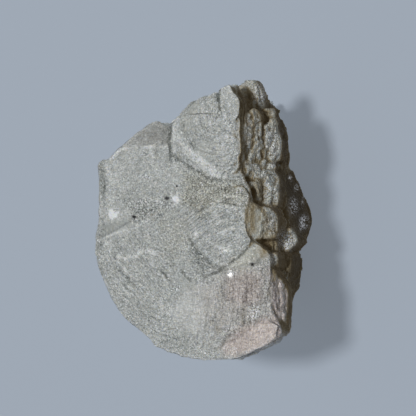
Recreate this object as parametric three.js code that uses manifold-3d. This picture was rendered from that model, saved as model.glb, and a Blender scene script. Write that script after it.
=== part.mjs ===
// A specimen of tunellite, a strontium borate that splits into thin sheets like mica.
//
// The specimen is one piece of mineral: a book of rounded tablets that grew side by side and into each
// other. It lies on its flat back. +Z is up and square to the cleavage, +Y runs to the pointed end, and +X is
// the side where the tablets' edges stand out like fish scales. Units are millimetres, and the origin is the
// centre of the footprint.
import * as THREE from "three";
import { mergeVertices } from "three/addons/utils/BufferGeometryUtils.js";
import Module from "manifold-3d";

const wasm = await Module();
wasm.setup();

// ---- Driving dimensions ------------------------------------------------------------------------------
const THICKNESS = 21.6; // from the back to the crown of the front face
const CROWN = 1.0; // how far the front face swells above its rim
const FACE = THICKNESS - CROWN; // level of the front face's rim
const SLAB = FACE / 5; // thickness of each of the five slabs that the book parts into
const LAP = 0.9; // how far one slab reaches into the next, so that they fuse
const CENTRE = [0.9, 0.2]; // the footprint's middle, in the frame that the outlines below are given in
const MIDDLE = [1, -1]; // a point that every slab's whole outline can be seen from

// ---- Helpers -----------------------------------------------------------------------------------------
// A repeatable number from 0 to 1 for each seed.
const scatter = (n) => {
  const value = Math.sin(n * 12.9898) * 43758.5453;
  return value - Math.floor(value);
};
const between = (low, high, share) => low + (high - low) * share;

// A lathe-turned disc whose circle is pushed out to an outline. profile is a list of [share of the outline,
// height] from the lower pole to the upper one, and lean is the slope of the whole disc along X and Y.
function discTo(outline, centre, profile, lean = [0, 0]) {
  const points = profile.map(([share, height]) => new THREE.Vector2(share, height));
  const disc = new THREE.LatheGeometry(points, outline.length);
  const position = disc.attributes.position;
  for (let i = 0; i < position.count; i++) {
    const corner = outline[Math.floor(i / points.length) % outline.length];
    const { x: share, y: height } = points[i % points.length];
    const dx = (corner[0] - centre[0]) * share;
    const dy = (corner[1] - centre[1]) * share;
    position.setXYZ(i, centre[0] + dx, centre[1] + dy, height + lean[0] * dx + lean[1] * dy);
  }
  return disc;
}

// A closed three.js geometry as a manifold-3d solid, with its faces pointing out.
function solidOf(geometry) {
  const bare = geometry.clone();
  bare.deleteAttribute("normal");
  bare.deleteAttribute("uv");
  const merged = mergeVertices(bare, 1e-4);
  const vertProperties = new Float32Array(merged.attributes.position.array);
  const make = (triVerts) => new wasm.Manifold(new wasm.Mesh({ numProp: 3, vertProperties, triVerts }));
  const faces = new Uint32Array(merged.index.array);
  const solid = make(faces);
  return solid.volume() > 0 ? solid : make(faces.reverse());
}

function geometryOf(solid) {
  const mesh = solid.getMesh();
  return new THREE.BufferGeometry()
    .setAttribute("position", new THREE.BufferAttribute(new Float32Array(mesh.vertProperties), 3))
    .setIndex(new THREE.BufferAttribute(new Uint32Array(mesh.triVerts), 1));
}

// A tablet with flat faces. Its rim follows the outline and is bevelled by bevel above and by foot below,
// and its upper face swells by crown at the middle.
function tablet({ outline, centre, low, high, bevel = 0.8, foot = bevel, inset = 0.06, crown = 0, lean }) {
  return discTo(
    outline,
    centre,
    [
      [0, low],
      [1 - inset, low],
      [1, low + foot],
      [1, high - bevel],
      [1 - inset, high - bevel * 0.2],
      [0.6, high + crown * 0.7],
      [0, high + crown],
    ],
    lean,
  );
}

// A scale: a small tablet that thins to an edge all round and stands out of a side. tip is its outermost
// point, turn is the way it points, as an angle from +X in degrees, and radii are its half sizes outwards,
// along the side and in thickness.
function scale({ tip, radii, turn = 0, lean, seed, corners = 10 }) {
  const [reach, half, thick] = radii;
  const way = THREE.MathUtils.degToRad(turn);
  const centre = [tip[0] - reach * Math.cos(way), tip[1] - reach * Math.sin(way)];
  const outline = Array.from({ length: corners }, (_, i) => {
    const angle = (i / corners) * 2 * Math.PI;
    const size = i === 0 ? 1 : between(0.9, 1.04, scatter(seed * 31 + i));
    const out = reach * size * Math.cos(angle);
    const side = half * size * Math.sin(angle);
    return [
      centre[0] + out * Math.cos(way) - side * Math.sin(way),
      centre[1] + out * Math.sin(way) + side * Math.cos(way),
    ];
  });
  const profile = [
    [0, -1],
    [0.66, -0.85],
    [0.93, -0.45],
    [1, 0],
    [0.93, 0.45],
    [0.66, 0.85],
    [0, 1],
  ];
  return discTo(
    outline,
    centre,
    profile.map(([share, height]) => [share, tip[2] + height * thick]),
    lean,
  );
}

// ---- The five slabs of the book, from the back to the front ------------------------------------------
const back = [
  [9.8, 2.0], [9.0, 8.0], [8.3, 12.8], [5.2, 16.4], [-1.8, 16.2], [-7.8, 13.0], [-11.6, 7.4],
  [-13.2, 0.0], [-12.0, -7.5], [-8.2, -13.6], [-2.4, -17.0], [4.4, -16.8], [8.8, -12.6], [10.4, -6.0],
];
const rear = [
  [14.0, 1.6], [13.0, 4.2], [11.7, 7.0], [10.9, 9.2], [10.7, 11.5], [9.8, 15.2], [8.8, 17.4],
  [7.6, 18.4], [3.0, 17.6], [-2.2, 16.8], [-7.6, 13.2], [-11.6, 8.0], [-13.4, 2.0], [-13.6, -4.0],
  [-11.8, -9.6], [-8.0, -14.4], [-3.0, -17.4], [3.0, -18.0], [8.0, -16.4], [10.6, -13.4],
  [12.4, -10.0], [13.1, -6.6], [13.0, -3.8], [13.8, -1.8],
];
const core = [
  [13.9, 2.8], [12.9, 4.8], [12.1, 6.8], [11.7, 8.4], [11.9, 9.8], [11.9, 11.6], [11.6, 13.6],
  [11.0, 15.6], [10.2, 17.0], [9.2, 17.9], [3.5, 18.0], [-1.5, 15.8], [-6.5, 14.0], [-10.8, 10.5],
  [-13.0, 5.5], [-13.8, -0.5], [-12.6, -6.5], [-10.4, -11.5], [-6.4, -16.0], [-1.4, -18.6],
  [4.6, -19.2], [9.6, -17.6], [11.8, -14.8], [13.2, -11.6], [14.5, -7.2], [14.0, -4.8], [13.4, -3.6],
  [14.4, -1.6], [14.3, 0.6],
];
const fore = [
  [11.6, 4.2], [11.3, 8.4], [11.2, 11.6], [10.5, 14.8], [9.2, 17.0], [7.0, 18.2], [3.0, 16.4],
  [-1.0, 14.0], [-5.5, 13.4], [-9.6, 11.0], [-12.2, 8.0], [-12.6, 1.5], [-13.0, -3.5], [-11.6, -9.5],
  [-8.6, -14.0], [-4.6, -17.4], [0.5, -19.4], [6.0, -19.8], [11.0, -18.4], [13.5, -15.9],
  [14.0, -12.4], [13.9, -7.8], [12.6, -4.2], [12.4, -1.0], [12.0, 1.6],
];
const front = [
  [11.8, 1.9], [11.9, 3.1], [11.5, 4.5], [10.8, 6.0], [10.4, 6.9], [10.7, 10.0], [10.6, 13.0],
  [10.7, 16.4], [10.4, 17.3], [9.8, 18.3], [9.3, 19.1], [8.4, 19.4], [6.8, 18.6], [4.7, 18.0],
  [2.6, 17.2], [0.6, 15.4], [-1.2, 13.8], [-3.4, 14.4], [-6.2, 13.0], [-9.2, 10.9], [-11.0, 9.2],
  [-12.6, 8.3], [-12.5, 3.0], [-13.2, -2.4], [-12.8, -6.4], [-10.7, -11.1], [-8.4, -14.1],
  [-5.1, -16.5], [-3.1, -18.1], [0.4, -19.4], [5.3, -19.8], [10.0, -19.3], [14.1, -17.6],
  [15.7, -16.7], [16.2, -15.5], [15.9, -14.1], [15.2, -12.6], [14.9, -10.4], [14.9, -6.6],
  [14.4, -4.4], [12.9, -2.9], [12.0, -2.0], [11.8, 0.0],
];

// A slab's own two leaves. Each is worn back a little here and there, so that the sides show the leaves'
// edges. The lower leaf of the front slab is worn back more on the +X side, where the face overhangs the
// plates.
function leavesOf(outline, number, all) {
  const isBack = number === 0;
  const isFront = number === all.length - 1;
  const low = isBack ? 0 : number * SLAB - LAP;
  const top = (number + 1) * SLAB;
  const parting = between(low, top, between(0.35, 0.65, scatter(number + 0.5)));
  const worn = (leaf, overhang = 0) =>
    outline.map(([x, y], i) => {
      const reach = Math.hypot(x - MIDDLE[0], y - MIDDLE[1]);
      const facingX = Math.max(0, (x - MIDDLE[0]) / reach);
      const loss = overhang * facingX + between(0, 0.8, scatter(number * 100 + leaf * 50 + i));
      const share = 1 - loss / reach;
      return [MIDDLE[0] + (x - MIDDLE[0]) * share, MIDDLE[1] + (y - MIDDLE[1]) * share];
    });
  const slope = (n) => between(-0.02, 0.02, scatter(n));
  const lean = (leaf) => [slope(number + leaf), slope(number - leaf)];
  return [
    tablet({
      outline: worn(1, isFront ? 1.2 : 0),
      centre: MIDDLE,
      low,
      high: parting + LAP / 2,
      bevel: 0.5,
      lean: isBack ? [0, 0] : lean(1),
    }),
    tablet({
      outline: isFront ? outline : worn(2),
      centre: MIDDLE,
      low: parting - LAP / 2,
      high: top,
      bevel: isFront ? 0.45 : 0.7,
      foot: isFront ? 1.5 : 0.7,
      crown: isFront ? CROWN : 0,
      lean: isFront ? [0, 0] : lean(2),
    }),
  ];
}
const slabs = [back, rear, core, fore, front].flatMap(leavesOf);

// ---- Shells and ledges that lie on the front face ----------------------------------------------------
const onTheFace = [
  // The fan-shaped shell that fills the pointed end.
  {
    outline: [
      [10.6, 10.4], [10.5, 13.0], [10.5, 16.9], [8.8, 18.3], [6.4, 18.4], [3.8, 17.5], [1.9, 15.9],
      [0.2, 14.5], [-0.8, 13.7], [-0.1, 12.0], [0.5, 10.6], [1.6, 9.1], [2.9, 7.8], [4.4, 6.9],
      [6.3, 6.1], [8.3, 6.0], [9.9, 6.9], [10.3, 8.4],
    ],
    centre: [6.0, 11.5],
    low: FACE - 2.4,
    high: FACE + 0.5,
    bevel: 0.5,
    crown: 0.5,
  },
  // A small leaf on the very point.
  {
    outline: [
      [10.5, 15.0], [10.5, 17.0], [9.7, 18.2], [8.9, 19.2], [7.6, 18.8], [7.0, 18.0], [6.8, 16.4],
      [7.2, 14.8], [8.3, 13.9], [9.5, 13.9],
    ],
    centre: [8.6, 16.3],
    low: FACE - 1.6,
    high: FACE + 0.9,
    bevel: 0.3,
  },
  // A lens at the middle of the +X edge.
  {
    outline: [
      [11.7, 2.4], [11.6, 3.6], [10.4, 4.8], [7.4, 5.0], [3.7, 4.3], [1.8, 3.3], [0.5, 1.8],
      [0.9, -0.2], [1.7, -2.1], [2.8, -3.8], [4.3, -5.3], [6.2, -6.6], [7.6, -7.1], [9.6, -5.7],
      [11.3, -4.1], [12.3, -2.8], [11.8, -1.4], [11.6, 0.6],
    ],
    centre: [7.0, -0.8],
    low: FACE - 1.8,
    high: FACE + 0.6,
    bevel: 0.4,
    crown: 0.4,
  },
  // The broad flat facet of the blunt end.
  {
    outline: [
      [14.9, -7.0], [14.5, -4.6], [12.9, -4.9], [10.2, -5.8], [7.6, -7.1], [4.2, -8.0], [1.0, -10.2],
      [0.7, -14.2], [2.0, -17.8], [3.6, -19.3], [7.6, -19.5], [12.3, -18.5], [14.3, -17.4],
      [15.7, -16.0], [15.8, -14.3], [15.1, -12.6], [14.7, -10.4],
    ],
    centre: [8.6, -12.6],
    low: FACE - 2.2,
    high: FACE + 0.1,
    bevel: 0.5,
    crown: 0.5,
  },
  // A pale ledge along the blunt end's rim.
  {
    outline: [
      [16.0, -14.4], [15.0, -13.6], [13.6, -14.1], [12.1, -15.0], [10.3, -16.2], [9.1, -17.5],
      [7.7, -19.2], [10.1, -19.2], [12.3, -18.4], [14.1, -17.5], [15.7, -16.3],
    ],
    centre: [12.6, -16.4],
    low: FACE - 2.0,
    high: FACE + 0.5,
    bevel: 0.4,
  },
  // A thin leaf that covers the flank opposite the scales.
  {
    outline: [
      [-2.3, 1.8], [-7.2, -0.2], [-9.6, -1.2], [-12.9, -2.5], [-12.7, -5.6], [-11.9, -7.5],
      [-10.4, -11.0], [-8.1, -13.9], [-4.8, -16.3], [-2.8, -17.8], [0.7, -14.0], [1.0, -10.2],
      [1.6, -6.6], [0.8, -3.5], [-0.5, -0.6],
    ],
    centre: [-4.6, -7.2],
    low: FACE - 2.0,
    high: FACE - 0.1,
    bevel: 0.4,
    crown: 0.9,
  },
].map(tablet);

// ---- Plates on the +X side ---------------------------------------------------------------------------
// A plate is a tablet that leans out of the side. top is its upper face's height over its centre.
const plate = ({ top, thick = 1, lean = [-0.6, 0], bevel = 0.3, crown = 0.15, ...rest }) =>
  tablet({ low: top - thick, high: top, inset: 0.08, bevel, crown, lean, ...rest });

const plates = [
  // Three steep walls: under the knob, beside the middle and at the blunt end.
  {
    outline: [
      [8.5, 17.2], [9.8, 17.4], [10.6, 17.0], [11.1, 16.2], [11.4, 15.2], [11.7, 13.8], [11.9, 12.2],
      [12.0, 10.4], [11.9, 8.6], [11.0, 7.6], [8.5, 9.8],
    ],
    centre: [10.6, 12.8],
    top: 13.2,
    thick: 4.6,
    lean: [-0.2, 0.0],
    bevel: 0.2,
  },
  {
    outline: [
      [10.2, 7.6], [11.7, 7.4], [12.3, 6.0], [13.0, 4.4], [13.7, 3.0], [14.2, 1.6], [14.4, 0.4],
      [14.4, -0.8], [14.0, -2.0], [13.2, -3.2], [11.4, -3.2], [9.8, 2.4],
    ],
    centre: [12.4, 1.8],
    top: 12.7,
    thick: 9.0,
    lean: [-0.08, 0.0],
    bevel: 0.2,
  },
  {
    outline: [
      [11.8, -4.2], [14.0, -4.8], [14.7, -6.0], [14.9, -7.6], [14.6, -9.4], [13.9, -11.2],
      [12.9, -12.8], [12.0, -14.0], [10.8, -13.6],
    ],
    centre: [13.2, -9.0],
    top: 15.6,
    thick: 6.4,
    lean: [-0.15, 0.0],
    bevel: 0.25,
  },
  // The knob behind the point: a domed plate and another under it.
  {
    outline: [
      [7.7, 18.7], [8.1, 19.4], [8.8, 20.0], [9.8, 20.3], [10.5, 19.8], [11.1, 18.9], [11.4, 17.8],
      [11.5, 16.6], [11.2, 15.9], [9.8, 15.8], [8.4, 17.0],
    ],
    centre: [10.3, 17.8],
    top: 15.2,
    thick: 1.8,
    lean: [-0.5, 0.0],
    crown: 0.3,
  },
  {
    outline: [
      [8.6, 19.4], [9.7, 20.0], [10.4, 19.4], [10.9, 18.2], [11.1, 17.0], [11.1, 16.1], [10.2, 15.4],
      [8.6, 15.6],
    ],
    centre: [10.6, 17.8],
    top: 14.2,
    thick: 2.2,
  },
  // The narrow plates just under the front face's rim.
  {
    outline: [
      [9.8, 16.5], [10.4, 16.4], [10.8, 15.4], [10.85, 13.6], [10.8, 11.6], [10.6, 9.9], [9.8, 9.9],
    ],
    centre: [10.5, 13.4],
    top: 19.9,
    thick: 2.4,
    lean: [-1.0, 0.0],
  },
  {
    outline: [
      [10.0, 15.1], [10.8, 15.4], [11.2, 15.1], [11.4, 13.6], [11.4, 12.0], [11.4, 10.6], [11.0, 9.3],
      [10.0, 9.7],
    ],
    centre: [10.8, 12.8],
    top: 19.2,
    thick: 2.4,
    lean: [-1.0, 0.0],
  },
  {
    outline: [
      [10.9, 15.4], [11.5, 15.8], [12.0, 15.4], [12.3, 14.2], [12.4, 12.4], [12.4, 10.4], [12.3, 8.9],
      [11.8, 8.1], [10.8, 8.6],
    ],
    centre: [11.7, 12.5],
    top: 18.1,
    thick: 2.4,
    lean: [-1.0, 0.0],
  },
  {
    outline: [
      [9.8, 9.2], [10.5, 9.2], [11.0, 8.2], [11.2, 6.8], [11.1, 5.6], [10.7, 5.2], [9.8, 5.8],
    ],
    centre: [10.6, 7.1],
    top: 19.4,
    thick: 2.4,
    lean: [-1.0, 0.0],
  },
  {
    outline: [
      [10.6, 8.8], [11.4, 9.0], [12.1, 8.4], [12.3, 7.2], [12.1, 6.0], [11.7, 5.2], [10.6, 5.4],
    ],
    centre: [11.5, 7.1],
    top: 18.4,
    thick: 2.4,
    lean: [-1.0, 0.0],
  },
  {
    outline: [
      [10.8, 5.5], [12.0, 5.9], [12.6, 4.8], [12.5, 3.2], [11.9, 2.3], [11.1, 3.2], [10.7, 4.6],
    ],
    centre: [11.9, 4.2],
    top: 18.6,
    thick: 2.4,
    lean: [-1.0, 0.0],
  },
  {
    outline: [
      [11.6, 8.8], [12.4, 9.1], [13.1, 8.6], [13.1, 7.5], [12.4, 6.9], [11.6, 7.1],
    ],
    centre: [12.3, 8.0],
    top: 17.2,
    thick: 2.4,
    lean: [-0.9, 0.0],
  },
  {
    outline: [
      [11.7, 15.8], [12.5, 16.1], [13.2, 15.9], [13.1, 14.9], [12.8, 14.0], [12.2, 13.4], [11.7, 13.7],
    ],
    centre: [12.6, 14.8],
    top: 15.0,
    thick: 2.4,
    lean: [-1.1, 0.0],
  },
  // The broad oval plate, the small one over it, the thin one behind and the round one below.
  {
    outline: [
      [11.9, 13.3], [12.6, 14.1], [13.3, 14.7], [13.7, 14.2], [14.0, 12.9], [14.3, 11.4], [14.3, 9.3],
      [13.9, 8.4], [12.4, 8.4], [11.9, 10.0],
    ],
    centre: [13.2, 11.5],
    top: 16.2,
    thick: 2.6,
    lean: [-0.9, 0.0],
    crown: 0.3,
  },
  {
    outline: [
      [12.0, 15.4], [12.6, 15.8], [13.1, 15.5], [13.3, 14.4], [12.7, 13.9], [12.0, 14.2],
    ],
    centre: [12.7, 15.0],
    top: 15.2,
    thick: 2.0,
    lean: [-0.8, 0.0],
  },
  {
    outline: [
      [12.2, 15.0], [12.8, 14.7], [13.2, 13.6], [13.6, 12.0], [13.8, 10.2], [13.8, 8.0], [13.4, 6.8],
      [12.2, 7.0], [12.2, 11.0],
    ],
    centre: [13.2, 10.9],
    top: 13.8,
    thick: 2.4,
    lean: [-0.8, 0.0],
  },
  {
    outline: [
      [12.8, 8.2], [13.2, 8.5], [13.6, 8.2], [13.7, 7.7], [13.4, 7.3], [12.9, 7.4],
    ],
    centre: [13.3, 7.9],
    top: 16.4,
    thick: 1.8,
    lean: [-0.4, 0.0],
    bevel: 0.4,
  },
  // The rough plate beside the middle.
  {
    outline: [
      [11.6, 7.2], [12.4, 7.7], [13.2, 7.7], [13.9, 6.6], [14.2, 5.2], [14.2, 3.6], [14.0, 2.2],
      [13.4, 1.6], [12.0, 2.2], [11.4, 4.4],
    ],
    centre: [13.1, 4.6],
    top: 16.8,
    thick: 2.8,
    lean: [-0.9, 0.0],
    crown: 0.25,
  },
  // The two smooth plates under the lens.
  {
    outline: [
      [11.0, 2.6], [12.0, 2.7], [12.8, 2.2], [13.4, 1.1], [13.6, -0.4], [13.5, -1.7], [12.9, -2.7],
      [11.0, -2.6],
    ],
    centre: [12.5, 0.1],
    top: 20.1,
    thick: 2.8,
    lean: [-0.9, 0.0],
    bevel: 0.2,
    crown: 0.05,
  },
  {
    outline: [
      [12.4, 2.0], [13.6, 2.1], [14.4, 1.5], [14.9, 0.2], [15.0, -1.2], [14.5, -2.3], [12.6, -2.2],
    ],
    centre: [14.2, -0.5],
    top: 18.3,
    thick: 2.8,
    lean: [-0.9, 0.0],
  },
  // The bright facet and the brown plates over and under it.
  {
    outline: [
      [13.4, -2.8], [14.2, -1.9], [15.2, -1.0], [15.9, -1.8], [16.3, -2.9], [15.4, -4.0], [14.6, -4.6],
      [13.5, -4.2],
    ],
    centre: [14.9, -2.9],
    top: 14.9,
    thick: 3.6,
    lean: [-0.8, 0.1],
    bevel: 0.2,
    crown: 0.0,
  },
  {
    outline: [
      [12.2, -2.1], [13.8, -2.0], [14.4, -3.0], [14.4, -4.3], [13.6, -5.0], [12.2, -4.8],
    ],
    centre: [13.7, -3.5],
    top: 17.4,
    thick: 3.2,
    lean: [-1.0, 0.0],
  },
  {
    outline: [
      [13.8, -4.4], [15.2, -4.5], [15.9, -4.9], [16.1, -6.2], [15.9, -7.6], [15.2, -8.6], [13.8, -8.0],
    ],
    centre: [15.2, -6.4],
    top: 16.0,
    thick: 3.4,
    lean: [-1.3, 0.0],
  },
  // The stack at the blunt end.
  {
    outline: [
      [13.8, -4.7], [14.9, -4.3], [15.3, -5.2], [15.3, -6.3], [14.8, -6.9], [13.8, -6.5],
    ],
    centre: [14.9, -5.5],
    top: 18.8,
    thick: 2.6,
    lean: [-0.9, 0.0],
    crown: 0.2,
  },
  {
    outline: [
      [14.4, -6.7], [14.9, -6.5], [15.4, -7.2], [15.6, -9.2], [15.6, -11.6], [15.8, -13.6],
      [15.9, -15.0], [15.3, -15.4], [14.5, -13.4], [14.3, -9.6],
    ],
    centre: [15.2, -10.4],
    top: 19.7,
    thick: 2.4,
    lean: [-1.0, 0.0],
  },
  {
    outline: [
      [14.8, -8.0], [15.5, -7.6], [15.9, -8.4], [16.05, -10.4], [16.1, -12.6], [16.2, -14.6],
      [15.7, -15.8], [14.9, -14.8],
    ],
    centre: [15.8, -11.1],
    top: 18.8,
    thick: 2.0,
    lean: [-1.0, 0.0],
  },
  {
    outline: [
      [14.8, -8.2], [15.6, -7.8], [16.2, -8.6], [16.45, -10.0], [16.45, -12.2], [16.35, -14.2],
      [16.1, -15.6], [15.5, -16.2], [14.8, -15.0],
    ],
    centre: [16.1, -11.2],
    top: 18.0,
    thick: 1.4,
    lean: [-1.0, 0.0],
  },
].map(plate);

// Pits where the slabs gape: two beside the middle lens, one above the bulge, one under the point.
const pits = [
  { tip: [12.8, 4.1, 19.0], radii: [1.5, 0.7, 0.4] },
  { tip: [12.0, 5.9, 19.4], radii: [1.3, 0.7, 0.35] },
  { tip: [14.4, 8.1, 14.4], radii: [1.8, 0.7, 0.7] },
  { tip: [8.6, 21.0, 17.9], radii: [3.4, 2.6, 0.5], turn: 70 },
].map((values, i) => scale({ ...values, seed: i + 60 }));

// ---- Scales round the other sides --------------------------------------------------------------------
// Where a ray from the slabs' middle leaves an outline.
function edgeOf(outline, angle) {
  const way = [Math.cos(angle), Math.sin(angle)];
  let reach = 0;
  outline.forEach((from, i) => {
    const to = outline[(i + 1) % outline.length];
    const a = [from[0] - MIDDLE[0], from[1] - MIDDLE[1]];
    const b = [to[0] - from[0], to[1] - from[1]];
    const cross = way[0] * b[1] - way[1] * b[0];
    const along = (a[0] * b[1] - a[1] * b[0]) / cross;
    const share = (a[0] * way[1] - a[1] * way[0]) / cross;
    if (along > 0 && share >= 0 && share <= 1) reach = Math.max(reach, along);
  });
  return reach;
}

const rows = [
  { outline: back, level: 0.15, count: 7 },
  { outline: rear, level: 0.31, count: 9 },
  { outline: core, level: 0.47, count: 9 },
  { outline: core, level: 0.62, count: 9 },
  { outline: fore, level: 0.78, count: 10 },
];
const firstAngle = THREE.MathUtils.degToRad(84);
const lastAngle = THREE.MathUtils.degToRad(301);
const sideScales = rows.flatMap(({ outline, level, count }, row) =>
  Array.from({ length: count }, (_, i) => {
    const chance = (n) => scatter(100 + row * 20 + i + n / 7);
    const angle = between(firstAngle, lastAngle, (i + between(0.2, 0.8, chance(1))) / count);
    const reach = edgeOf(outline, angle) + between(0.1, 1.0, chance(2));
    return scale({
      tip: [
        MIDDLE[0] + reach * Math.cos(angle),
        MIDDLE[1] + reach * Math.sin(angle),
        FACE * level + between(-1.0, 1.0, chance(3)),
      ],
      radii: [between(2.6, 3.6, chance(4)), between(2.6, 4.8, chance(5)), between(1.0, 2.0, chance(6))],
      turn: THREE.MathUtils.radToDeg(angle) + between(-15, 15, chance(7)),
      seed: 100 + row * 20 + i,
      corners: 8,
    });
  }),
);

// ---- The specimen, fused into one solid --------------------------------------------------------------
const grown = [...slabs, ...onTheFace, ...plates, ...sideScales].map(solidOf);
const fused = grown.reduce((whole, piece) => whole.add(piece));
const specimenSolid = pits.map(solidOf).reduce((whole, pit) => whole.subtract(pit), fused);
const shape = geometryOf(specimenSolid).translate(-CENTRE[0], -CENTRE[1], 0);

const specimen = new THREE.Mesh(
  shape,
  new THREE.MeshStandardMaterial({ color: 0xb9bab0, roughness: 0.45, metalness: 0 }),
);
specimen.name = "tunellite_crystal";

const group = new THREE.Group();
group.add(specimen);

export default group;
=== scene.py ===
# %% [markdown]
# # A tunellite specimen, from nested sheets to a finished stone
# Tunellite is a strontium borate that splits into thin sheets, as mica does. This specimen is one piece:
# a book of rounded tablets that grew side by side and into each other, so the broad face is nearly flat
# and milky, and the edges of the tablets stand out at the side like fish scales, with brown in the gaps
# between them that is painted shade.
#
# The lesson has four parts: the place to look from, the rough form from joined grids, the carving of that
# form with whole-array arithmetic, and the finish. Lengths are in millimetres until the mesh is finished,
# because the numbers are then easy to read, and the last step turns them into metres.

# %% Load the frame
import itertools

import bpy
import numpy as np
from mathutils import Matrix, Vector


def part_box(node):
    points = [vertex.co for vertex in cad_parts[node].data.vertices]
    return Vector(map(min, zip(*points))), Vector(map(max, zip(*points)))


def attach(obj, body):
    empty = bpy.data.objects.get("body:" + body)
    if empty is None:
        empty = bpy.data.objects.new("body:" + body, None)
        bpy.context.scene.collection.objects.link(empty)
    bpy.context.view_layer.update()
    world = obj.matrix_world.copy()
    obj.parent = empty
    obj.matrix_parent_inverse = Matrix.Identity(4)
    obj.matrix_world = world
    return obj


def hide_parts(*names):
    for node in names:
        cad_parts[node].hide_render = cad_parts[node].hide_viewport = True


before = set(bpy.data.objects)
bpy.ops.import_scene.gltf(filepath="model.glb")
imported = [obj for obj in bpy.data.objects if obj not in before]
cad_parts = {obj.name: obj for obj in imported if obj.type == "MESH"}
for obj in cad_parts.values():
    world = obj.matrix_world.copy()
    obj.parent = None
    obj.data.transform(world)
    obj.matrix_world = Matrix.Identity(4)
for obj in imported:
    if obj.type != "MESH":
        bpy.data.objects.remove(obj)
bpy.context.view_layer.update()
MM = 0.001
NODE = "tunellite_crystal"
low_corner, high_corner = (np.array(corner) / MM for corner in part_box(NODE))
print("the specimen's box in mm:", low_corner.round(2), high_corner.round(2))

# %% [markdown]
# ## The place to look from
# The specimen lies on its back and the camera looks down on it, turned a quarter of a right angle towards
# the side where the scales show. A long lens from 200 mm away keeps the far edge of the stone nearly as
# large as the near one. The camera's three axes are worked out from that one turn, so there is no aiming
# by trial.

# %% Camera
VIEW_TURN = np.radians(25.0)  # from straight above, towards +X
VIEW_DISTANCE = 200.0
VIEW_WIDTH = 62.4  # what the view spans at the stone's middle
SENSOR = 36.0
CENTRE = np.array([0.9, 0.2])  # the footprint's middle, in the frame that the outlines are given in
HEART = np.array([-CENTRE[0], -CENTRE[1], 11.0])  # the stone's middle
AIM_OFFSET = (0.75, 1.875)  # from the stone's middle to the view's, to the right and upwards

towards_camera = np.array([np.sin(VIEW_TURN), 0.0, np.cos(VIEW_TURN)])
view_right = np.array([np.cos(VIEW_TURN), 0.0, -np.sin(VIEW_TURN)])
view_up = np.array([0.0, 1.0, 0.0])


def look(name, place, right, up, back):
    """Gives an object's world matrix from its place and its three axes, as the columns of the matrix."""
    matrix = np.eye(4)
    matrix[:3, 0], matrix[:3, 1], matrix[:3, 2], matrix[:3, 3] = right, up, back, place
    bpy.data.objects[name].matrix_world = Matrix(matrix.tolist())


aim = HEART + AIM_OFFSET[0] * view_right + AIM_OFFSET[1] * view_up
lens = bpy.data.cameras.new("camera")
lens.sensor_width = SENSOR
lens.lens = SENSOR * VIEW_DISTANCE / VIEW_WIDTH
lens.clip_start, lens.clip_end = 0.01, 10.0
camera = bpy.data.objects.new("camera", lens)
bpy.context.scene.collection.objects.link(camera)
look("camera", (aim + VIEW_DISTANCE * towards_camera) * MM, view_right, view_up, towards_camera)
bpy.context.scene.camera = camera
print("lens of", round(lens.lens, 1), "mm, camera at", np.array(camera.location).round(3))

# %% [markdown]
# ## Floor and light
# A pale, slightly blue floor and one main lamp, high on the left, with a weak sky all round. The lamp is
# a small disc, so that scales throw shadows on each other with an edge that is soft but can still be
# read. Small lamps would make the edges hard, and a large one would wash out the fine relief, which is
# what the eye reads as stone.

# %% Floor
FLOOR_COLOUR = (0.235, 0.267, 0.31)
FLOOR_GLOW = (0.60, 0.68, 0.79)  # a little light from behind the paper, which softens the stone's shadow
FLOOR_GLOW_STRENGTH = 0.27
FLOOR_HALF = 1.5


def principled(name, **values):
    """A new material with one Principled BSDF, whose inputs are set by name."""
    material = bpy.data.materials.new(name)
    material.use_nodes = True
    shader = material.node_tree.nodes["Principled BSDF"]
    for socket, value in values.items():
        shader.inputs[socket.replace("_", " ")].default_value = value
    return material, material.node_tree, shader


floor_mesh = bpy.data.meshes.new("floor")
corners = [(x * FLOOR_HALF, y * FLOOR_HALF, 0.0) for x, y in ((-1, -1), (1, -1), (1, 1), (-1, 1))]
floor_mesh.from_pydata(corners, [], [(0, 1, 2, 3)])
floor = bpy.data.objects.new("floor", floor_mesh)
bpy.context.scene.collection.objects.link(floor)
paper = principled("floor paper", Base_Color=(*FLOOR_COLOUR, 1.0), Roughness=0.9,
                   Emission_Color=(*FLOOR_GLOW, 1.0), Emission_Strength=FLOOR_GLOW_STRENGTH)[0]
floor_mesh.materials.append(paper)

# %% Light
LAMP_WAY = np.array([-0.55, 0.10, 0.83])  # to the lamp, along the view's right, up and to the camera
LAMP_DISTANCE = 1200.0
LAMP_SIZE = 190.0
LAMP_POWER = 8.7
SKY_COLOUR = (0.74, 0.80, 0.88)
SKY_STRENGTH = 0.2


def across(way):
    """Two axes square to a direction, so that a lamp can face back along it."""
    side = np.cross((0.0, 0.0, 1.0), way)
    side /= np.linalg.norm(side)
    return side, np.cross(way, side)


lamp_way = LAMP_WAY @ np.array([view_right, view_up, towards_camera])
lamp_way /= np.linalg.norm(lamp_way)
lamp = bpy.data.lights.new("main lamp", "AREA")
lamp.shape = "DISK"
lamp.size = LAMP_SIZE * MM
lamp.energy = LAMP_POWER
bpy.context.scene.collection.objects.link(bpy.data.objects.new("main lamp", lamp))
look("main lamp", (HEART + LAMP_DISTANCE * lamp_way) * MM, *across(lamp_way), lamp_way)

world = bpy.data.worlds.new("sky")
world.use_nodes = True
world.node_tree.nodes["Background"].inputs["Color"].default_value = (*SKY_COLOUR, 1.0)
world.node_tree.nodes["Background"].inputs["Strength"].default_value = SKY_STRENGTH
bpy.context.scene.world = world
bpy.context.scene.view_settings.view_transform = "Standard"
print("the lamp stands towards", lamp_way.round(2))

# %% [markdown]
# ## Chance that repeats
# Stone needs irregularity, and a lesson needs the same stone each time. So chance comes from arithmetic
# and not from a random number generator: a whole-numbered place is scrambled into a number from 0 to 1.
# Three things are built on it: smooth noise, noise in octaves, and chips, which cut space into cells as a
# broken crystal is.

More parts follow.
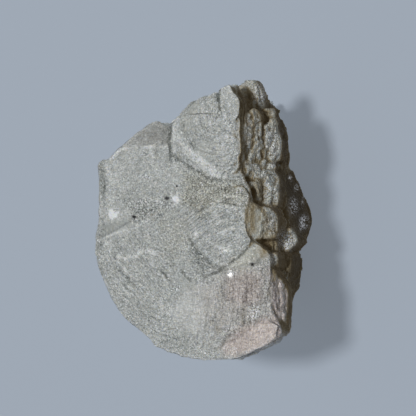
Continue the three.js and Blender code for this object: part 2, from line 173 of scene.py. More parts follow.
# %% Noise
BITS = 0xFFFFFFFF


def scatter(n):
    """A repeatable number from 0 to 1 for each seed: the fraction of a large multiple of its sine."""
    value = np.sin(np.asarray(n, float) * 12.9898) * 43758.5453
    return value - np.floor(value)


def between(low, high, share):
    return low + (high - low) * share


def lattice(corner, seed):
    """A repeatable number from 0 to 1 for each whole-numbered corner. Its three numbers are multiplied by
    large odd numbers and combined, and their bits are mixed twice."""
    x, y, z = corner[..., 0], corner[..., 1], corner[..., 2]
    mixed = (x * 73856093) ^ (y * 19349663) ^ (z * 83492791) ^ (seed * 26544357)
    mixed = ((mixed ^ (mixed >> 13)) * 1274126177) & BITS
    mixed = ((mixed ^ (mixed >> 16)) * 224682251) & BITS
    return ((mixed ^ (mixed >> 15)) & 0xFFFF) / 65535.0


def ease(t):
    """0 below 0, 1 above 1, and a smooth S between."""
    t = np.clip(t, 0.0, 1.0)
    return t * t * (3.0 - 2.0 * t)


def noise(points, size, seed=0):
    """Smooth noise from -1 to 1: the lattice numbers of the eight corners round a point, each weighted by
    how near it is, with an S curve along each axis."""
    q = points / size
    cell = np.floor(q).astype(np.int64)
    near = ease(q - cell)
    total = np.zeros(len(q))
    for step in itertools.product((0, 1), repeat=3):
        weight = np.prod(np.where(step, near, 1.0 - near), axis=1)
        total += weight * lattice(cell + np.array(step), seed)
    return total * 2.0 - 1.0


def octaves(points, size, seed=0, count=3):
    """Noise plus noise of half its size and height, and so on."""
    return sum(noise(points, np.asarray(size) / 2**k, seed + k) / 2**k for k in range(count))


def chips(points, size, seed):
    """Cuts space into chips. Each lattice cell holds one scattered seed, and a point belongs to the
    nearest seed. Returns the way from that seed, the seed's cell, and how much farther off the next seed
    is."""
    q = points / size
    base = np.floor(q).astype(np.int64)
    nearest, second = np.full(len(q), 9.0), np.full(len(q), 9.0)
    way, home = np.zeros_like(q), np.zeros_like(base)
    for step in itertools.product((-1, 0, 1), repeat=3):
        cell = base + np.array(step)
        offset = q - cell - np.stack([lattice(cell, seed + k) for k in range(3)], axis=1)
        distance = np.linalg.norm(offset, axis=1)
        closer = distance < nearest
        second = np.where(closer, nearest, np.minimum(second, distance))
        nearest = np.where(closer, distance, nearest)
        way[closer], home[closer] = offset[closer], cell[closer]
    return way * size, home, (second - nearest) * np.mean(size)


print("scatter(1) =", round(float(scatter(1)), 4))

# %% [markdown]
# ## The rough form
# Every sheet and scale of the specimen is the same kind of surface: a disc turned from a profile, with
# its circle pushed out to an outline. It is a function of two parameters, the way round and the place
# along the profile, so one grid serves them all. The alternative, one closed mesh shaped by hand, would
# lose the way the stone is built: where two sheets overlap, the step between them is what the eye looks
# for.

# %% Discs
ROUND = 2.0 * np.pi


def follow(outline, count, softness=0.6):
    """count points along a closed outline. Each is softness parts of a curve that passes through the
    outline's points (Catmull-Rom: a cubic through two neighbours with slopes from the next ones) and the
    rest of a straight run between them, so corners are eased but not lost."""
    points = np.asarray(outline, float)
    place = np.arange(count) / count * len(points)
    index = np.floor(place).astype(int)
    t = (place - index)[:, None]
    a, b, c, d = (points[(index + k) % len(points)] for k in (-1, 0, 1, 2))
    curve = b + 0.5 * t * (c - a + t * (2 * a - 5 * b + 4 * c - d + t * (3 * (b - c) + d - a)))
    return softness * curve + (1.0 - softness) * (b + t * (c - b))


def disc(outline, centre, profile, lean=(0.0, 0.0)):
    """A closed disc. A point lies the profile's share of the way from the centre to the outline, at the
    profile's height plus the lean's slope. The first and last entries of the profile are the poles."""
    outline, centre, profile = (np.asarray(a, float) for a in (outline, centre, profile))
    around, rings = len(outline), len(profile) - 2
    spoke = (outline - centre)[None] * profile[1:-1, 0][:, None, None]
    height = profile[1:-1, 1][:, None] + spoke @ np.asarray(lean)
    grid = np.dstack([spoke + centre, height]).reshape(-1, 3)
    poles = [(*centre, profile[0, 1]), (*centre, profile[-1, 1])]
    ring, way = np.meshgrid(np.arange(rings - 1), np.arange(around), indexing="ij")
    here, there = ring * around + way, ring * around + (way + 1) % around
    quads = np.stack([here, there, there + around, here + around], axis=-1).reshape(-1, 4)
    edge, beyond = np.arange(around), (np.arange(around) + 1) % around
    last, foot, head = (rings - 1) * around, rings * around, rings * around + 1
    caps = np.concatenate([
        np.stack([beyond, edge, np.full(around, foot)], axis=1),
        np.stack([last + edge, last + beyond, np.full(around, head)], axis=1),
    ])
    return np.vstack([grid, poles]), quads, caps


def tablet(outline, centre, low, high, bevel=0.8, foot=None, inset=0.06, crown=0.0, lean=(0.0, 0.0)):
    """A sheet with flat faces: its rim follows the outline, cut off slanting above and below, and its
    upper face swells by crown."""
    foot = bevel if foot is None else foot
    profile = [
        (0.0, low), (1.0 - inset, low), (1.0, low + foot), (1.0, high - bevel),
        (1.0 - inset * 0.4, high - bevel * 0.5), (1.0 - inset, high - bevel * 0.2),
        (0.8, high + crown * 0.42), (0.6, high + crown * 0.7), (0.3, high + crown * 0.93),
        (0.0, high + crown),
    ]
    return disc(follow(outline, 30 * len(outline)), centre, profile, lean)


def scale(tip, radii, turn, seed, corners=10):
    """A small plate that thins to an edge all round, like a fish scale. tip is its outermost point, turn
    the way it points in degrees from +X, and radii its half sizes outwards, along the side and in
    thickness. Its profile is a lens: the share falls from 1 at the rim to 0 at the poles as the square
    root of 1 minus the height squared."""
    reach, half, thick = radii
    way = np.radians(turn)
    centre = np.array([tip[0] - reach * np.cos(way), tip[1] - reach * np.sin(way)])
    index = np.arange(corners)
    size = np.where(index == 0, 1.0, between(0.9, 1.04, scatter(seed * 31 + index)))
    around = index / corners * ROUND
    out, side = reach * size * np.cos(around), half * size * np.sin(around)
    rim = np.stack([out * np.cos(way) - side * np.sin(way), out * np.sin(way) + side * np.cos(way)], axis=1)
    height = np.array([-1.0, -0.85, -0.66, -0.45, -0.22, 0.0, 0.22, 0.45, 0.66, 0.85, 1.0])
    share = np.array([0.0, 0.66, 0.84, 0.93, 0.985, 1.0, 0.985, 0.93, 0.84, 0.66, 0.0])
    profile = np.stack([share, tip[2] + height * thick], axis=1)
    return disc(follow(rim + centre, 12 * corners, softness=0.75), centre, profile)


# %% [markdown]
# ### Five slabs
# The book parts into five slabs, each of two leaves, from the back on the floor to the broad front face.
# Their outlines differ, as sheets that grew at different speeds do. A worn leaf is pulled back a little
# at each corner of its outline, and that is enough to show the edges of both.

# %% Slabs
THICKNESS = 21.6
CROWN = 1.0
FACE = THICKNESS - CROWN
SLAB = FACE / 5
LAP = 0.9
MIDDLE = np.array([1.0, -1.0])

BACK = [
    [9.8, 2.0], [9.0, 8.0], [8.3, 12.8], [5.2, 16.4], [-1.8, 16.2], [-7.8, 13.0], [-11.6, 7.4],
    [-13.2, 0.0], [-12.0, -7.5], [-8.2, -13.6], [-2.4, -17.0], [4.4, -16.8], [8.8, -12.6], [10.4, -6.0],
]
REAR = [
    [14.0, 1.6], [13.0, 4.2], [11.7, 7.0], [10.9, 9.2], [10.7, 11.5], [9.8, 15.2], [8.8, 17.4],
    [7.6, 18.4], [3.0, 17.6], [-2.2, 16.8], [-7.6, 13.2], [-11.6, 8.0], [-13.4, 2.0], [-13.6, -4.0],
    [-11.8, -9.6], [-8.0, -14.4], [-3.0, -17.4], [3.0, -18.0], [8.0, -16.4], [10.6, -13.4], [12.4, -10.0],
    [13.1, -6.6], [13.0, -3.8], [13.8, -1.8],
]
CORE = [
    [13.9, 2.8], [12.9, 4.8], [12.1, 6.8], [11.7, 8.4], [11.9, 9.8], [11.9, 11.6], [11.6, 13.6],
    [11.0, 15.6], [10.2, 17.0], [9.2, 17.9], [3.5, 18.0], [-1.5, 15.8], [-6.5, 14.0], [-10.8, 10.5],
    [-13.0, 5.5], [-13.8, -0.5], [-12.6, -6.5], [-10.4, -11.5], [-6.4, -16.0], [-1.4, -18.6],
    [4.6, -19.2], [9.6, -17.6], [11.8, -14.8], [13.2, -11.6], [14.5, -7.2], [14.0, -4.8], [13.4, -3.6],
    [14.4, -1.6], [14.3, 0.6],
]
FORE = [
    [11.6, 4.2], [11.3, 8.4], [11.2, 11.6], [10.5, 14.8], [9.2, 17.0], [7.0, 18.2], [3.0, 16.4],
    [-1.0, 14.0], [-5.5, 13.4], [-9.6, 11.0], [-12.2, 8.0], [-12.6, 1.5], [-13.0, -3.5], [-11.6, -9.5],
    [-8.6, -14.0], [-4.6, -17.4], [0.5, -19.4], [6.0, -19.8], [11.0, -18.4], [13.5, -15.9], [14.0, -12.4],
    [13.9, -7.8], [12.6, -4.2], [12.4, -1.0], [12.0, 1.6],
]
FRONT = [
    [11.8, 1.9], [11.9, 3.1], [11.5, 4.5], [10.8, 6.0], [10.4, 6.9], [10.7, 10.0], [10.6, 13.0],
    [10.7, 16.4], [10.4, 17.3], [9.8, 18.3], [9.3, 19.1], [8.4, 19.4], [6.8, 18.6], [4.7, 18.0],
    [2.6, 17.2], [0.6, 15.4], [-1.2, 13.8], [-3.4, 14.4], [-6.2, 13.0], [-9.2, 10.9], [-11.0, 9.2],
    [-12.6, 8.3], [-12.5, 3.0], [-13.2, -2.4], [-12.8, -6.4], [-10.7, -11.1], [-8.4, -14.1],
    [-5.1, -16.5], [-3.1, -18.1], [0.4, -19.4], [5.3, -19.8], [10.0, -19.3], [14.1, -17.6], [15.7, -16.7],
    [16.2, -15.5], [15.9, -14.1], [15.2, -12.6], [14.9, -10.4], [14.9, -6.6], [14.4, -4.4], [12.9, -2.9],
    [12.0, -2.0], [11.8, 0.0],
]
OUTLINES = [BACK, REAR, CORE, FORE, FRONT]


def leaves_of(number):
    """The two leaves of one slab. A leaf's outline is the slab's, drawn in towards the middle by up to
    0.8 mm at each corner, and more on the +X side under the front face's overhang."""
    outline = np.array(OUTLINES[number])
    is_back, is_front = number == 0, number == len(OUTLINES) - 1
    low, top = (0.0 if is_back else number * SLAB - LAP), (number + 1) * SLAB
    parting = between(low, top, between(0.35, 0.65, scatter(number + 0.5)))
    spoke = outline - MIDDLE
    reach = np.linalg.norm(spoke, axis=1, keepdims=True)

    def worn(leaf, overhang=0.0):
        chance = scatter(number * 100 + leaf * 50 + np.arange(len(outline)))[:, None]
        loss = overhang * np.maximum(0.0, spoke[:, :1] / reach) + between(0.0, 0.8, chance)
        return MIDDLE + spoke * (1.0 - loss / reach)

    def lean(leaf):
        return tuple(between(-0.02, 0.02, scatter(np.array([number + leaf, number - leaf]))))

    return [
        tablet(worn(1, 1.2 if is_front else 0.0), MIDDLE, low, parting + LAP / 2, bevel=0.5,
               lean=(0.0, 0.0) if is_back else lean(1)),
        tablet(outline if is_front else worn(2), MIDDLE, parting - LAP / 2, top,
               bevel=0.45 if is_front else 0.7, foot=1.5 if is_front else 0.7,
               crown=CROWN if is_front else 0.0, lean=(0.0, 0.0) if is_front else lean(2)),
    ]


slabs = [leaf for number in range(len(OUTLINES)) for leaf in leaves_of(number)]
print(len(slabs), "leaves")

# %% [markdown]
# ### Shells on the face
# The broad face isn't one plane. Thin shells lie on it where later growth covered it in part: a fan at
# the pointed end, a lens at the middle of the scaly side, a facet and a pale ledge at the blunt end.

# %% Shells
FAN = [
    [10.6, 10.4], [10.5, 13.0], [10.5, 16.9], [8.8, 18.3], [6.4, 18.4], [3.8, 17.5], [1.9, 15.9],
    [0.2, 14.5], [-0.8, 13.7], [-0.1, 12.0], [0.5, 10.6], [1.6, 9.1], [2.9, 7.8], [4.4, 6.9], [6.3, 6.1],
    [8.3, 6.0], [9.9, 6.9], [10.3, 8.4],
]
POINT_LEAF = [
    [10.5, 15.0], [10.5, 17.0], [9.7, 18.2], [8.9, 19.2], [7.6, 18.8], [7.0, 18.0], [6.8, 16.4],
    [7.2, 14.8], [8.3, 13.9], [9.5, 13.9],
]
LENS = [
    [11.7, 2.4], [11.6, 3.6], [10.4, 4.8], [7.4, 5.0], [3.7, 4.3], [1.8, 3.3], [0.5, 1.8], [0.9, -0.2],
    [1.7, -2.1], [2.8, -3.8], [4.3, -5.3], [6.2, -6.6], [7.6, -7.1], [9.6, -5.7], [11.3, -4.1],
    [12.3, -2.8], [11.8, -1.4], [11.6, 0.6],
]
FACET = [
    [14.9, -7.0], [14.5, -4.6], [12.9, -4.9], [10.2, -5.8], [7.6, -7.1], [4.2, -8.0], [1.0, -10.2],
    [0.7, -14.2], [2.0, -17.8], [3.6, -19.3], [7.6, -19.5], [12.3, -18.5], [14.3, -17.4], [15.7, -16.0],
    [15.8, -14.3], [15.1, -12.6], [14.7, -10.4],
]
LEDGE = [
    [16.0, -14.4], [15.0, -13.6], [13.6, -14.1], [12.1, -15.0], [10.3, -16.2], [9.1, -17.5], [7.7, -19.2],
    [10.1, -19.2], [12.3, -18.4], [14.1, -17.5], [15.7, -16.3],
]
FLANK_LEAF = [
    [-2.3, 1.8], [-7.2, -0.2], [-9.6, -1.2], [-12.9, -2.5], [-12.7, -5.6], [-11.9, -7.5], [-10.4, -11.0],
    [-8.1, -13.9], [-4.8, -16.3], [-2.8, -17.8], [0.7, -14.0], [1.0, -10.2], [1.6, -6.6], [0.8, -3.5],
    [-0.5, -0.6],
]
shells = [
    tablet(FAN, [6.0, 11.5], FACE - 2.4, FACE + 0.5, bevel=0.5, crown=0.5),
    tablet(POINT_LEAF, [8.6, 16.3], FACE - 1.6, FACE + 0.9, bevel=0.3),
    tablet(LENS, [7.0, -0.8], FACE - 1.8, FACE + 0.6, bevel=0.4, crown=0.4),
    tablet(FACET, [8.6, -12.6], FACE - 2.2, FACE + 0.1, bevel=0.5, crown=0.5),
    tablet(LEDGE, [12.6, -16.4], FACE - 2.0, FACE + 0.5, bevel=0.4),
    tablet(FLANK_LEAF, [-4.6, -7.2], FACE - 2.0, FACE - 0.5, bevel=0.4, crown=0.9),
]
print(len(shells), "shells")

# %% [markdown]
# ### Scales
# On the +X side the tablets grew past each other, and their rims overlap like fish scales. The ones that
# can be told apart are placed one by one. Round the other sides they are spread by rule, five rows with
# their sizes and turns scattered, because only their crowding matters there.

# %% Scales
def plate(outline, centre, top, thick=2.4, lean=(-1.0, 0.0), bevel=0.3, crown=0.15):
    """A tablet that leans out of the side. top is its upper face's height over its centre."""
    return tablet(outline, centre, top - thick, top, bevel=bevel, inset=0.08, crown=crown, lean=lean)


PLATES = [
    # three steep walls: under the knob, beside the middle and at the blunt end
    dict(centre=(10.6, 12.8), top=13.2, thick=4.6, lean=(-0.2, 0.0), bevel=0.2,
         outline=[(8.5, 17.2), (9.8, 17.4), (10.6, 17.0), (11.1, 16.2), (11.4, 15.2), (11.7, 13.8),
                  (11.9, 12.2), (12.0, 10.4), (11.9, 8.6), (11.0, 7.6), (8.5, 9.8)]),
    dict(centre=(12.4, 1.8), top=12.7, thick=9.0, lean=(-0.08, 0.0), bevel=0.2,
         outline=[(10.2, 7.6), (11.7, 7.4), (12.3, 6.0), (13.0, 4.4), (13.7, 3.0), (14.2, 1.6),
                  (14.4, 0.4), (14.4, -0.8), (14.0, -2.0), (13.2, -3.2), (11.4, -3.2), (9.8, 2.4)]),
    dict(centre=(13.2, -9.0), top=15.6, thick=6.4, lean=(-0.15, 0.0), bevel=0.25,
         outline=[(11.8, -4.2), (14.0, -4.8), (14.7, -6.0), (14.9, -7.6), (14.6, -9.4), (13.9, -11.2),
                  (12.9, -12.8), (12.0, -14.0), (10.8, -13.6)]),
    # the knob behind the point: a domed plate and another under it
    dict(centre=(10.3, 17.8), top=15.2, thick=1.8, lean=(-0.5, 0.0), crown=0.3,
         outline=[(7.7, 18.7), (8.1, 19.4), (8.8, 20.0), (9.8, 20.3), (10.5, 19.8), (11.1, 18.9),
                  (11.4, 17.8), (11.5, 16.6), (11.2, 15.9), (9.8, 15.8), (8.4, 17.0)]),
    dict(centre=(10.6, 17.8), top=14.2, thick=2.2, lean=(-0.6, 0.0),
         outline=[(8.6, 19.4), (9.7, 20.0), (10.4, 19.4), (10.9, 18.2), (11.1, 17.0), (11.1, 16.1),
                  (10.2, 15.4), (8.6, 15.6)]),
    # the narrow plates just under the front face's rim
    dict(centre=(10.5, 13.4), top=19.9,
         outline=[(9.8, 16.5), (10.4, 16.4), (10.8, 15.4), (10.85, 13.6), (10.8, 11.6), (10.6, 9.9),
                  (9.8, 9.9)]),
    dict(centre=(10.8, 12.8), top=19.2,
         outline=[(10.0, 15.1), (10.8, 15.4), (11.2, 15.1), (11.4, 13.6), (11.4, 12.0), (11.4, 10.6),
                  (11.0, 9.3), (10.0, 9.7)]),
    dict(centre=(11.7, 12.5), top=18.1,
         outline=[(10.9, 15.4), (11.5, 15.8), (12.0, 15.4), (12.3, 14.2), (12.4, 12.4), (12.4, 10.4),
                  (12.3, 8.9), (11.8, 8.1), (10.8, 8.6)]),
    dict(centre=(10.6, 7.1), top=19.4,
         outline=[(9.8, 9.2), (10.5, 9.2), (11.0, 8.2), (11.2, 6.8), (11.1, 5.6), (10.7, 5.2),
                  (9.8, 5.8)]),
    dict(centre=(11.5, 7.1), top=18.4,
         outline=[(10.6, 8.8), (11.4, 9.0), (12.1, 8.4), (12.3, 7.2), (12.1, 6.0), (11.7, 5.2),
                  (10.6, 5.4)]),
    dict(centre=(11.9, 4.2), top=18.6,
         outline=[(10.8, 5.5), (12.0, 5.9), (12.6, 4.8), (12.5, 3.2), (11.9, 2.3), (11.1, 3.2),
                  (10.7, 4.6)]),
    dict(centre=(12.3, 8.0), top=17.2, lean=(-0.9, 0.0),
         outline=[(11.6, 8.8), (12.4, 9.1), (13.1, 8.6), (13.1, 7.5), (12.4, 6.9), (11.6, 7.1)]),
    dict(centre=(12.6, 14.8), top=15.0, lean=(-1.1, 0.0),
         outline=[(11.7, 15.8), (12.5, 16.1), (13.2, 15.9), (13.1, 14.9), (12.8, 14.0), (12.2, 13.4),
                  (11.7, 13.7)]),
    # the broad oval plate, the small one over it, the thin one behind and the round one below
    dict(centre=(13.2, 11.5), top=16.2, thick=2.6, lean=(-0.9, 0.0), crown=0.3,
         outline=[(11.9, 13.3), (12.6, 14.1), (13.3, 14.7), (13.7, 14.2), (14.0, 12.9), (14.3, 11.4),
                  (14.3, 9.3), (13.9, 8.4), (12.4, 8.4), (11.9, 10.0)]),
    dict(centre=(12.7, 15.0), top=15.2, thick=2.0, lean=(-0.8, 0.0),
         outline=[(12.0, 15.4), (12.6, 15.8), (13.1, 15.5), (13.3, 14.4), (12.7, 13.9), (12.0, 14.2)]),
    dict(centre=(13.2, 10.9), top=13.8, lean=(-0.8, 0.0),
         outline=[(12.2, 15.0), (12.8, 14.7), (13.2, 13.6), (13.6, 12.0), (13.8, 10.2), (13.8, 8.0),
                  (13.4, 6.8), (12.2, 7.0), (12.2, 11.0)]),
    dict(centre=(13.3, 7.9), top=16.4, thick=1.8, lean=(-0.4, 0.0), bevel=0.4,
         outline=[(12.8, 8.2), (13.2, 8.5), (13.6, 8.2), (13.7, 7.7), (13.4, 7.3), (12.9, 7.4)]),
    # the rough plate beside the middle
    dict(centre=(13.1, 4.6), top=16.8, thick=2.8, lean=(-0.9, 0.0), crown=0.25,
         outline=[(11.6, 7.2), (12.4, 7.7), (13.2, 7.7), (13.9, 6.6), (14.2, 5.2), (14.2, 3.6),
                  (14.0, 2.2), (13.4, 1.6), (12.0, 2.2), (11.4, 4.4)]),
    # the two smooth plates under the lens
    dict(centre=(12.5, 0.1), top=20.1, thick=2.8, lean=(-0.9, 0.0), bevel=0.2, crown=0.05,
         outline=[(11.0, 2.6), (12.0, 2.7), (12.8, 2.2), (13.4, 1.1), (13.6, -0.4), (13.5, -1.7),
                  (12.9, -2.7), (11.0, -2.6)]),
    dict(centre=(14.2, -0.5), top=18.3, thick=2.8, lean=(-0.9, 0.0),
         outline=[(12.4, 2.0), (13.6, 2.1), (14.4, 1.5), (14.9, 0.2), (15.0, -1.2), (14.5, -2.3),
                  (12.6, -2.2)]),
    # the bright facet and the brown plates over and under it
    dict(centre=(14.9, -2.9), top=14.9, thick=3.6, lean=(-0.8, 0.1), bevel=0.2, crown=0.0,
         outline=[(13.4, -2.8), (14.2, -1.9), (15.2, -1.0), (15.9, -1.8), (16.3, -2.9), (15.4, -4.0),
                  (14.6, -4.6), (13.5, -4.2)]),
    dict(centre=(13.7, -3.5), top=17.4, thick=3.2,
         outline=[(12.2, -2.1), (13.8, -2.0), (14.4, -3.0), (14.4, -4.3), (13.6, -5.0), (12.2, -4.8)]),
    dict(centre=(15.2, -6.4), top=16.0, thick=3.4, lean=(-1.3, 0.0),
         outline=[(13.8, -4.4), (15.2, -4.5), (15.9, -4.9), (16.1, -6.2), (15.9, -7.6), (15.2, -8.6),
                  (13.8, -8.0)]),
    # the stack at the blunt end
    dict(centre=(14.9, -5.5), top=18.8, thick=2.6, lean=(-0.9, 0.0), crown=0.2,
         outline=[(13.8, -4.7), (14.9, -4.3), (15.3, -5.2), (15.3, -6.3), (14.8, -6.9), (13.8, -6.5)]),
    dict(centre=(15.2, -10.4), top=19.7,
         outline=[(14.4, -6.7), (14.9, -6.5), (15.4, -7.2), (15.6, -9.2), (15.6, -11.6), (15.8, -13.6),
                  (15.9, -15.0), (15.3, -15.4), (14.5, -13.4), (14.3, -9.6)]),
    dict(centre=(15.8, -11.1), top=18.8, thick=2.0,
         outline=[(14.8, -8.0), (15.5, -7.6), (15.9, -8.4), (16.05, -10.4), (16.1, -12.6), (16.2, -14.6),
                  (15.7, -15.8), (14.9, -14.8)]),
    dict(centre=(16.1, -11.2), top=18.0, thick=1.4,
         outline=[(14.8, -8.2), (15.6, -7.8), (16.2, -8.6), (16.45, -10.0), (16.45, -12.2),
                  (16.35, -14.2), (16.1, -15.6), (15.5, -16.2), (14.8, -15.0)]),
]
placed = [plate(**values) for values in PLATES]


def edge_of(outline, angle):
    """How far a ray from the slabs' middle goes before it leaves an outline: the farthest of its
    crossings with the outline's straight stretches, each solved as two lines that meet."""
    way = np.array([np.cos(angle), np.sin(angle)])
    start = np.array(outline) - MIDDLE
    run = np.roll(start, -1, axis=0) - start
    turned = way[0] * run[:, 1] - way[1] * run[:, 0]
    along = (start[:, 0] * run[:, 1] - start[:, 1] * run[:, 0]) / turned
    share = (start[:, 0] * way[1] - start[:, 1] * way[0]) / turned
    return along[(along > 0) & (share >= 0) & (share <= 1)].max()


SIDE_ROWS = [(BACK, 0.15, 7), (REAR, 0.31, 9), (CORE, 0.47, 9), (CORE, 0.62, 9), (FORE, 0.78, 10)]
FIRST_ANGLE, LAST_ANGLE = np.radians(84.0), np.radians(301.0)


def side_scale(row, outline, level, count, i):
    """One scale of a row: its angle, reach, height, sizes and turn each scattered between two bounds."""
    seed = 100 + row * 20 + i
    chance = scatter(seed + np.arange(8) / 7)
    angle = between(FIRST_ANGLE, LAST_ANGLE, (i + between(0.2, 0.8, chance[1])) / count)
    reach = edge_of(outline, angle) + between(0.1, 1.0, chance[2])
    rim = MIDDLE + reach * np.array([np.cos(angle), np.sin(angle)])
    return scale(
        tip=[*rim, FACE * level + between(-1.0, 1.0, chance[3])],
        radii=[between(2.6, 3.6, chance[4]), between(2.6, 4.8, chance[5]), between(1.0, 2.0, chance[6])],
        turn=np.degrees(angle) + between(-15, 15, chance[7]), seed=seed, corners=8,
    )


spread = [
    side_scale(row, outline, level, count, i)
    for row, (outline, level, count) in enumerate(SIDE_ROWS) for i in range(count)
]
print(len(placed), "placed scales,", len(spread), "spread ones")

# %% [markdown]
# ### One skin
# The discs run through each other. A voxel remesh lays one even skin over all of them, as the stone has,
# and leaves nothing inside. A boolean union would keep each edge sharper, but gives long thin triangles
# that can't be carved.

# %% Join and remesh
VOXEL = 0.2


def join(name, parts):
    """One mesh from many grids: their points are stacked, and each part's face numbers are moved up by
    the points before it."""
    starts = np.cumsum([0] + [len(points) for points, _, _ in parts])[:-1]
    faces = [
        face for (_, quads, caps), start in zip(parts, starts)
        for face in (quads + start).tolist() + (caps + start).tolist()
    ]
    mesh = bpy.data.meshes.new(name)
    mesh.from_pydata(np.vstack([points for points, _, _ in parts]).tolist(), [], faces)
    return mesh


def applied(piece):
    """Replaces an object's mesh by what its modifiers make of it."""
    depsgraph = bpy.context.evaluated_depsgraph_get()
    made = bpy.data.meshes.new_from_object(piece.evaluated_get(depsgraph))
    piece.modifiers.clear()
    piece.data = made
    return made


stone = bpy.data.objects.new("stone", join("stone", slabs + shells + placed + spread))
bpy.context.scene.collection.objects.link(stone)
remesh = stone.modifiers.new("skin", "REMESH")
remesh.mode = "VOXEL"
remesh.voxel_size = VOXEL
skin = applied(stone)
print("the skin has", len(skin.vertices), "points and", len(skin.polygons), "faces")

# %% [markdown]
# ## Carving
# The skin is now a list of points, and each trait of the stone is carved by one formula over all of them
# at once. A sculptor's brush could do the same by hand, but a formula can be read, changed and run again.
# The order goes from large to small: sharper edges, split leaves, broken chips, then the face's own low
# relief.

# %% Mesh arrays
def read(values, attribute):
    """A mesh's points or normals as an array with one row each."""
    out = np.empty(len(values) * 3, np.float32)
    values.foreach_get(attribute, out)
    return out.reshape(-1, 3).astype(float)


def write_points(mesh, points):
    mesh.vertices.foreach_set("co", points.astype(np.float32).ravel())
    mesh.update()


def edges_of(mesh):
    """The numbers of the two points at each edge's ends."""
    ends = np.empty(len(mesh.edges) * 2, np.int32)
    mesh.edges.foreach_get("vertices", ends)
    return ends.reshape(-1, 2)


def smoothed(values, edges, rounds):
    """Each point takes the mean of its neighbours, rounds times over. The sum over neighbours is a count
    of the edges' ends, weighted by the value at the other end."""
    a, b = np.concatenate([edges[:, 0], edges[:, 1]]), np.concatenate([edges[:, 1], edges[:, 0]])
    count = np.bincount(a, minlength=len(values))
    columns = values.reshape(len(values), -1).T.copy()
    for _ in range(rounds):
        columns = np.stack([np.bincount(a, column[b], len(values)) / count for column in columns])
    return columns.T.reshape(values.shape)


def normals_of(mesh):
    return read(mesh.vertex_normals, "vector")


points, edges = read(skin.vertices, "co"), edges_of(skin)
normals = normals_of(skin)
lengths = np.linalg.norm(points[edges[:, 0]] - points[edges[:, 1]], axis=1)
print("mean edge:", round(float(lengths.mean()), 3), "mm")

# %% Sharper edges
SHARPEN, SHARPEN_ROUNDS, SHARPEN_MOST = 0.7, 22, 0.4


def noise3(points, size, seed):
    """Three noises side by side, to push points about."""
    return np.stack([noise(points, size, seed + k) for k in range(3)], axis=1)


steepness = ease((0.9 - np.abs(normals[:, 2])) / 0.3)[:, None]
sway = 0.17 * noise3(points, 2.6, 11) + 0.09 * noise3(points, 1.1, 21)
sway[:, 2] *= 0.3
points += sway * (0.25 + 0.75 * steepness)
relief = points - smoothed(points, edges, SHARPEN_ROUNDS)
height = np.clip((relief * normals).sum(axis=1) * SHARPEN, -SHARPEN_MOST, SHARPEN_MOST)
height *= 0.25 + 0.75 * steepness[:, 0]
points += normals * height[:, None]
write_points(skin, points)
normals = normals_of(skin)
print("sharpened by", height.min().round(2), "to", height.max().round(2), "mm")

# %% [markdown]
# ### Split leaves
# Perfect cleavage is what makes tunellite look like a closed book: the sides show hundreds of thin edges.
# So the height is cut into layers about 0.6 mm thick, warped a little, and each layer gets its own
# recess, which changes along the side as slowly as a torn page does. Between two layers there is a narrow
# groove.

# %% Leaves
LEAF = 0.62
LEAF_RECESS = 0.34
GROOVE_SHARE, GROOVE_DEPTH = 0.17, 0.13


def leaf_recess(points):
    """How far in the leaves' edges lie. The warped height over LEAF gives a whole number, the leaf, and a
    rest, the place across its edge. The leaf's recess is a noise along the side whose third coordinate is
    the leaf."""
    warped = (points[:, 2] + 0.5 * noise(points, 6.0, 31) + 0.1 * noise(points, 1.3, 32)) / LEAF
    leaf = np.floor(warped)
    rest = warped - leaf
    along = np.column_stack([points[:, 0], points[:, 1], leaf * 17.0])
    recess = LEAF_RECESS * (0.5 + 0.5 * noise(along, 3.2, 33)) + 0.1 * noise(along, 0.9, 34)
    groove = GROOVE_DEPTH * (1.0 - ease(np.minimum(rest, 1.0 - rest) / GROOVE_SHARE))
    return recess + groove


flat_way = normals * [1.0, 1.0, 0.0]
side = ease((0.86 - np.abs(normals[:, 2])) / 0.35)
on_scales = ease((points[:, 0] - 8.0) / 3.0) * ease((20.3 - points[:, 2]) / 1.2)
on_wall = on_scales * ease((0.6 - smoothed(normals, edges, 14)[:, 2]) / 0.3)
low_wall = ease((points[:, 0] - 11.8) / 1.0) * ease((15.0 - points[:, 2]) / 1.5)  # worn smoother
left_open = side * (1.0 - 0.6 * on_scales) * (1.0 - 0.5 * on_wall) * (1.0 - 0.75 * low_wall)
points -= flat_way * (left_open * leaf_recess(points))[:, None]
write_points(skin, points)
normals = normals_of(skin)

# %% [markdown]
# ### Chips
# Where a leaf broke across, it left small flat facets that catch the light one by one. A cell pattern
# gives every chip its own random slope: the height in a cell is the dot product of that slope and the way
# from the cell's seed.

# %% Chips
def facets(points, size, slope, seed, squash=(1.0, 1.0, 1.0)):
    """Height of tilted chips, less a crack round each: the cell's random slope, from -slope to slope on
    three axes, times the way from its seed."""
    way, home, gap = chips(points * squash, size, seed)
    tilt = np.stack([lattice(home, seed + 7 + k) * 2.0 - 1.0 for k in range(3)], axis=1)
    return (way * tilt).sum(axis=1) * slope - 0.04 * size * (1.0 - ease(gap / (0.1 * size)))


side = ease((0.93 - np.abs(normals[:, 2])) / 0.3) * ease(points[:, 2] / 1.5)
at_rim = ease((points[:, 2] - 17.8) / 1.0)
broken = np.maximum(side * (1.0 - 0.75 * at_rim) * (0.35 + 0.2 * on_scales), 0.4 * on_scales)
large = facets(points, 1.7, 0.45, 41, (1.0, 0.7, 1.5))
small = facets(points, 0.7, 0.5, 51, (1.0, 0.8, 1.3))
height = np.clip(large + small, -0.3, 0.25)
points += normals * (broken * (1.0 - 0.55 * on_wall) * (1.0 - 0.6 * low_wall) * height)[:, None]
write_points(skin, points)
normals = normals_of(skin)
print("chips from", height.min().round(2), "to", height.max().round(2), "mm")

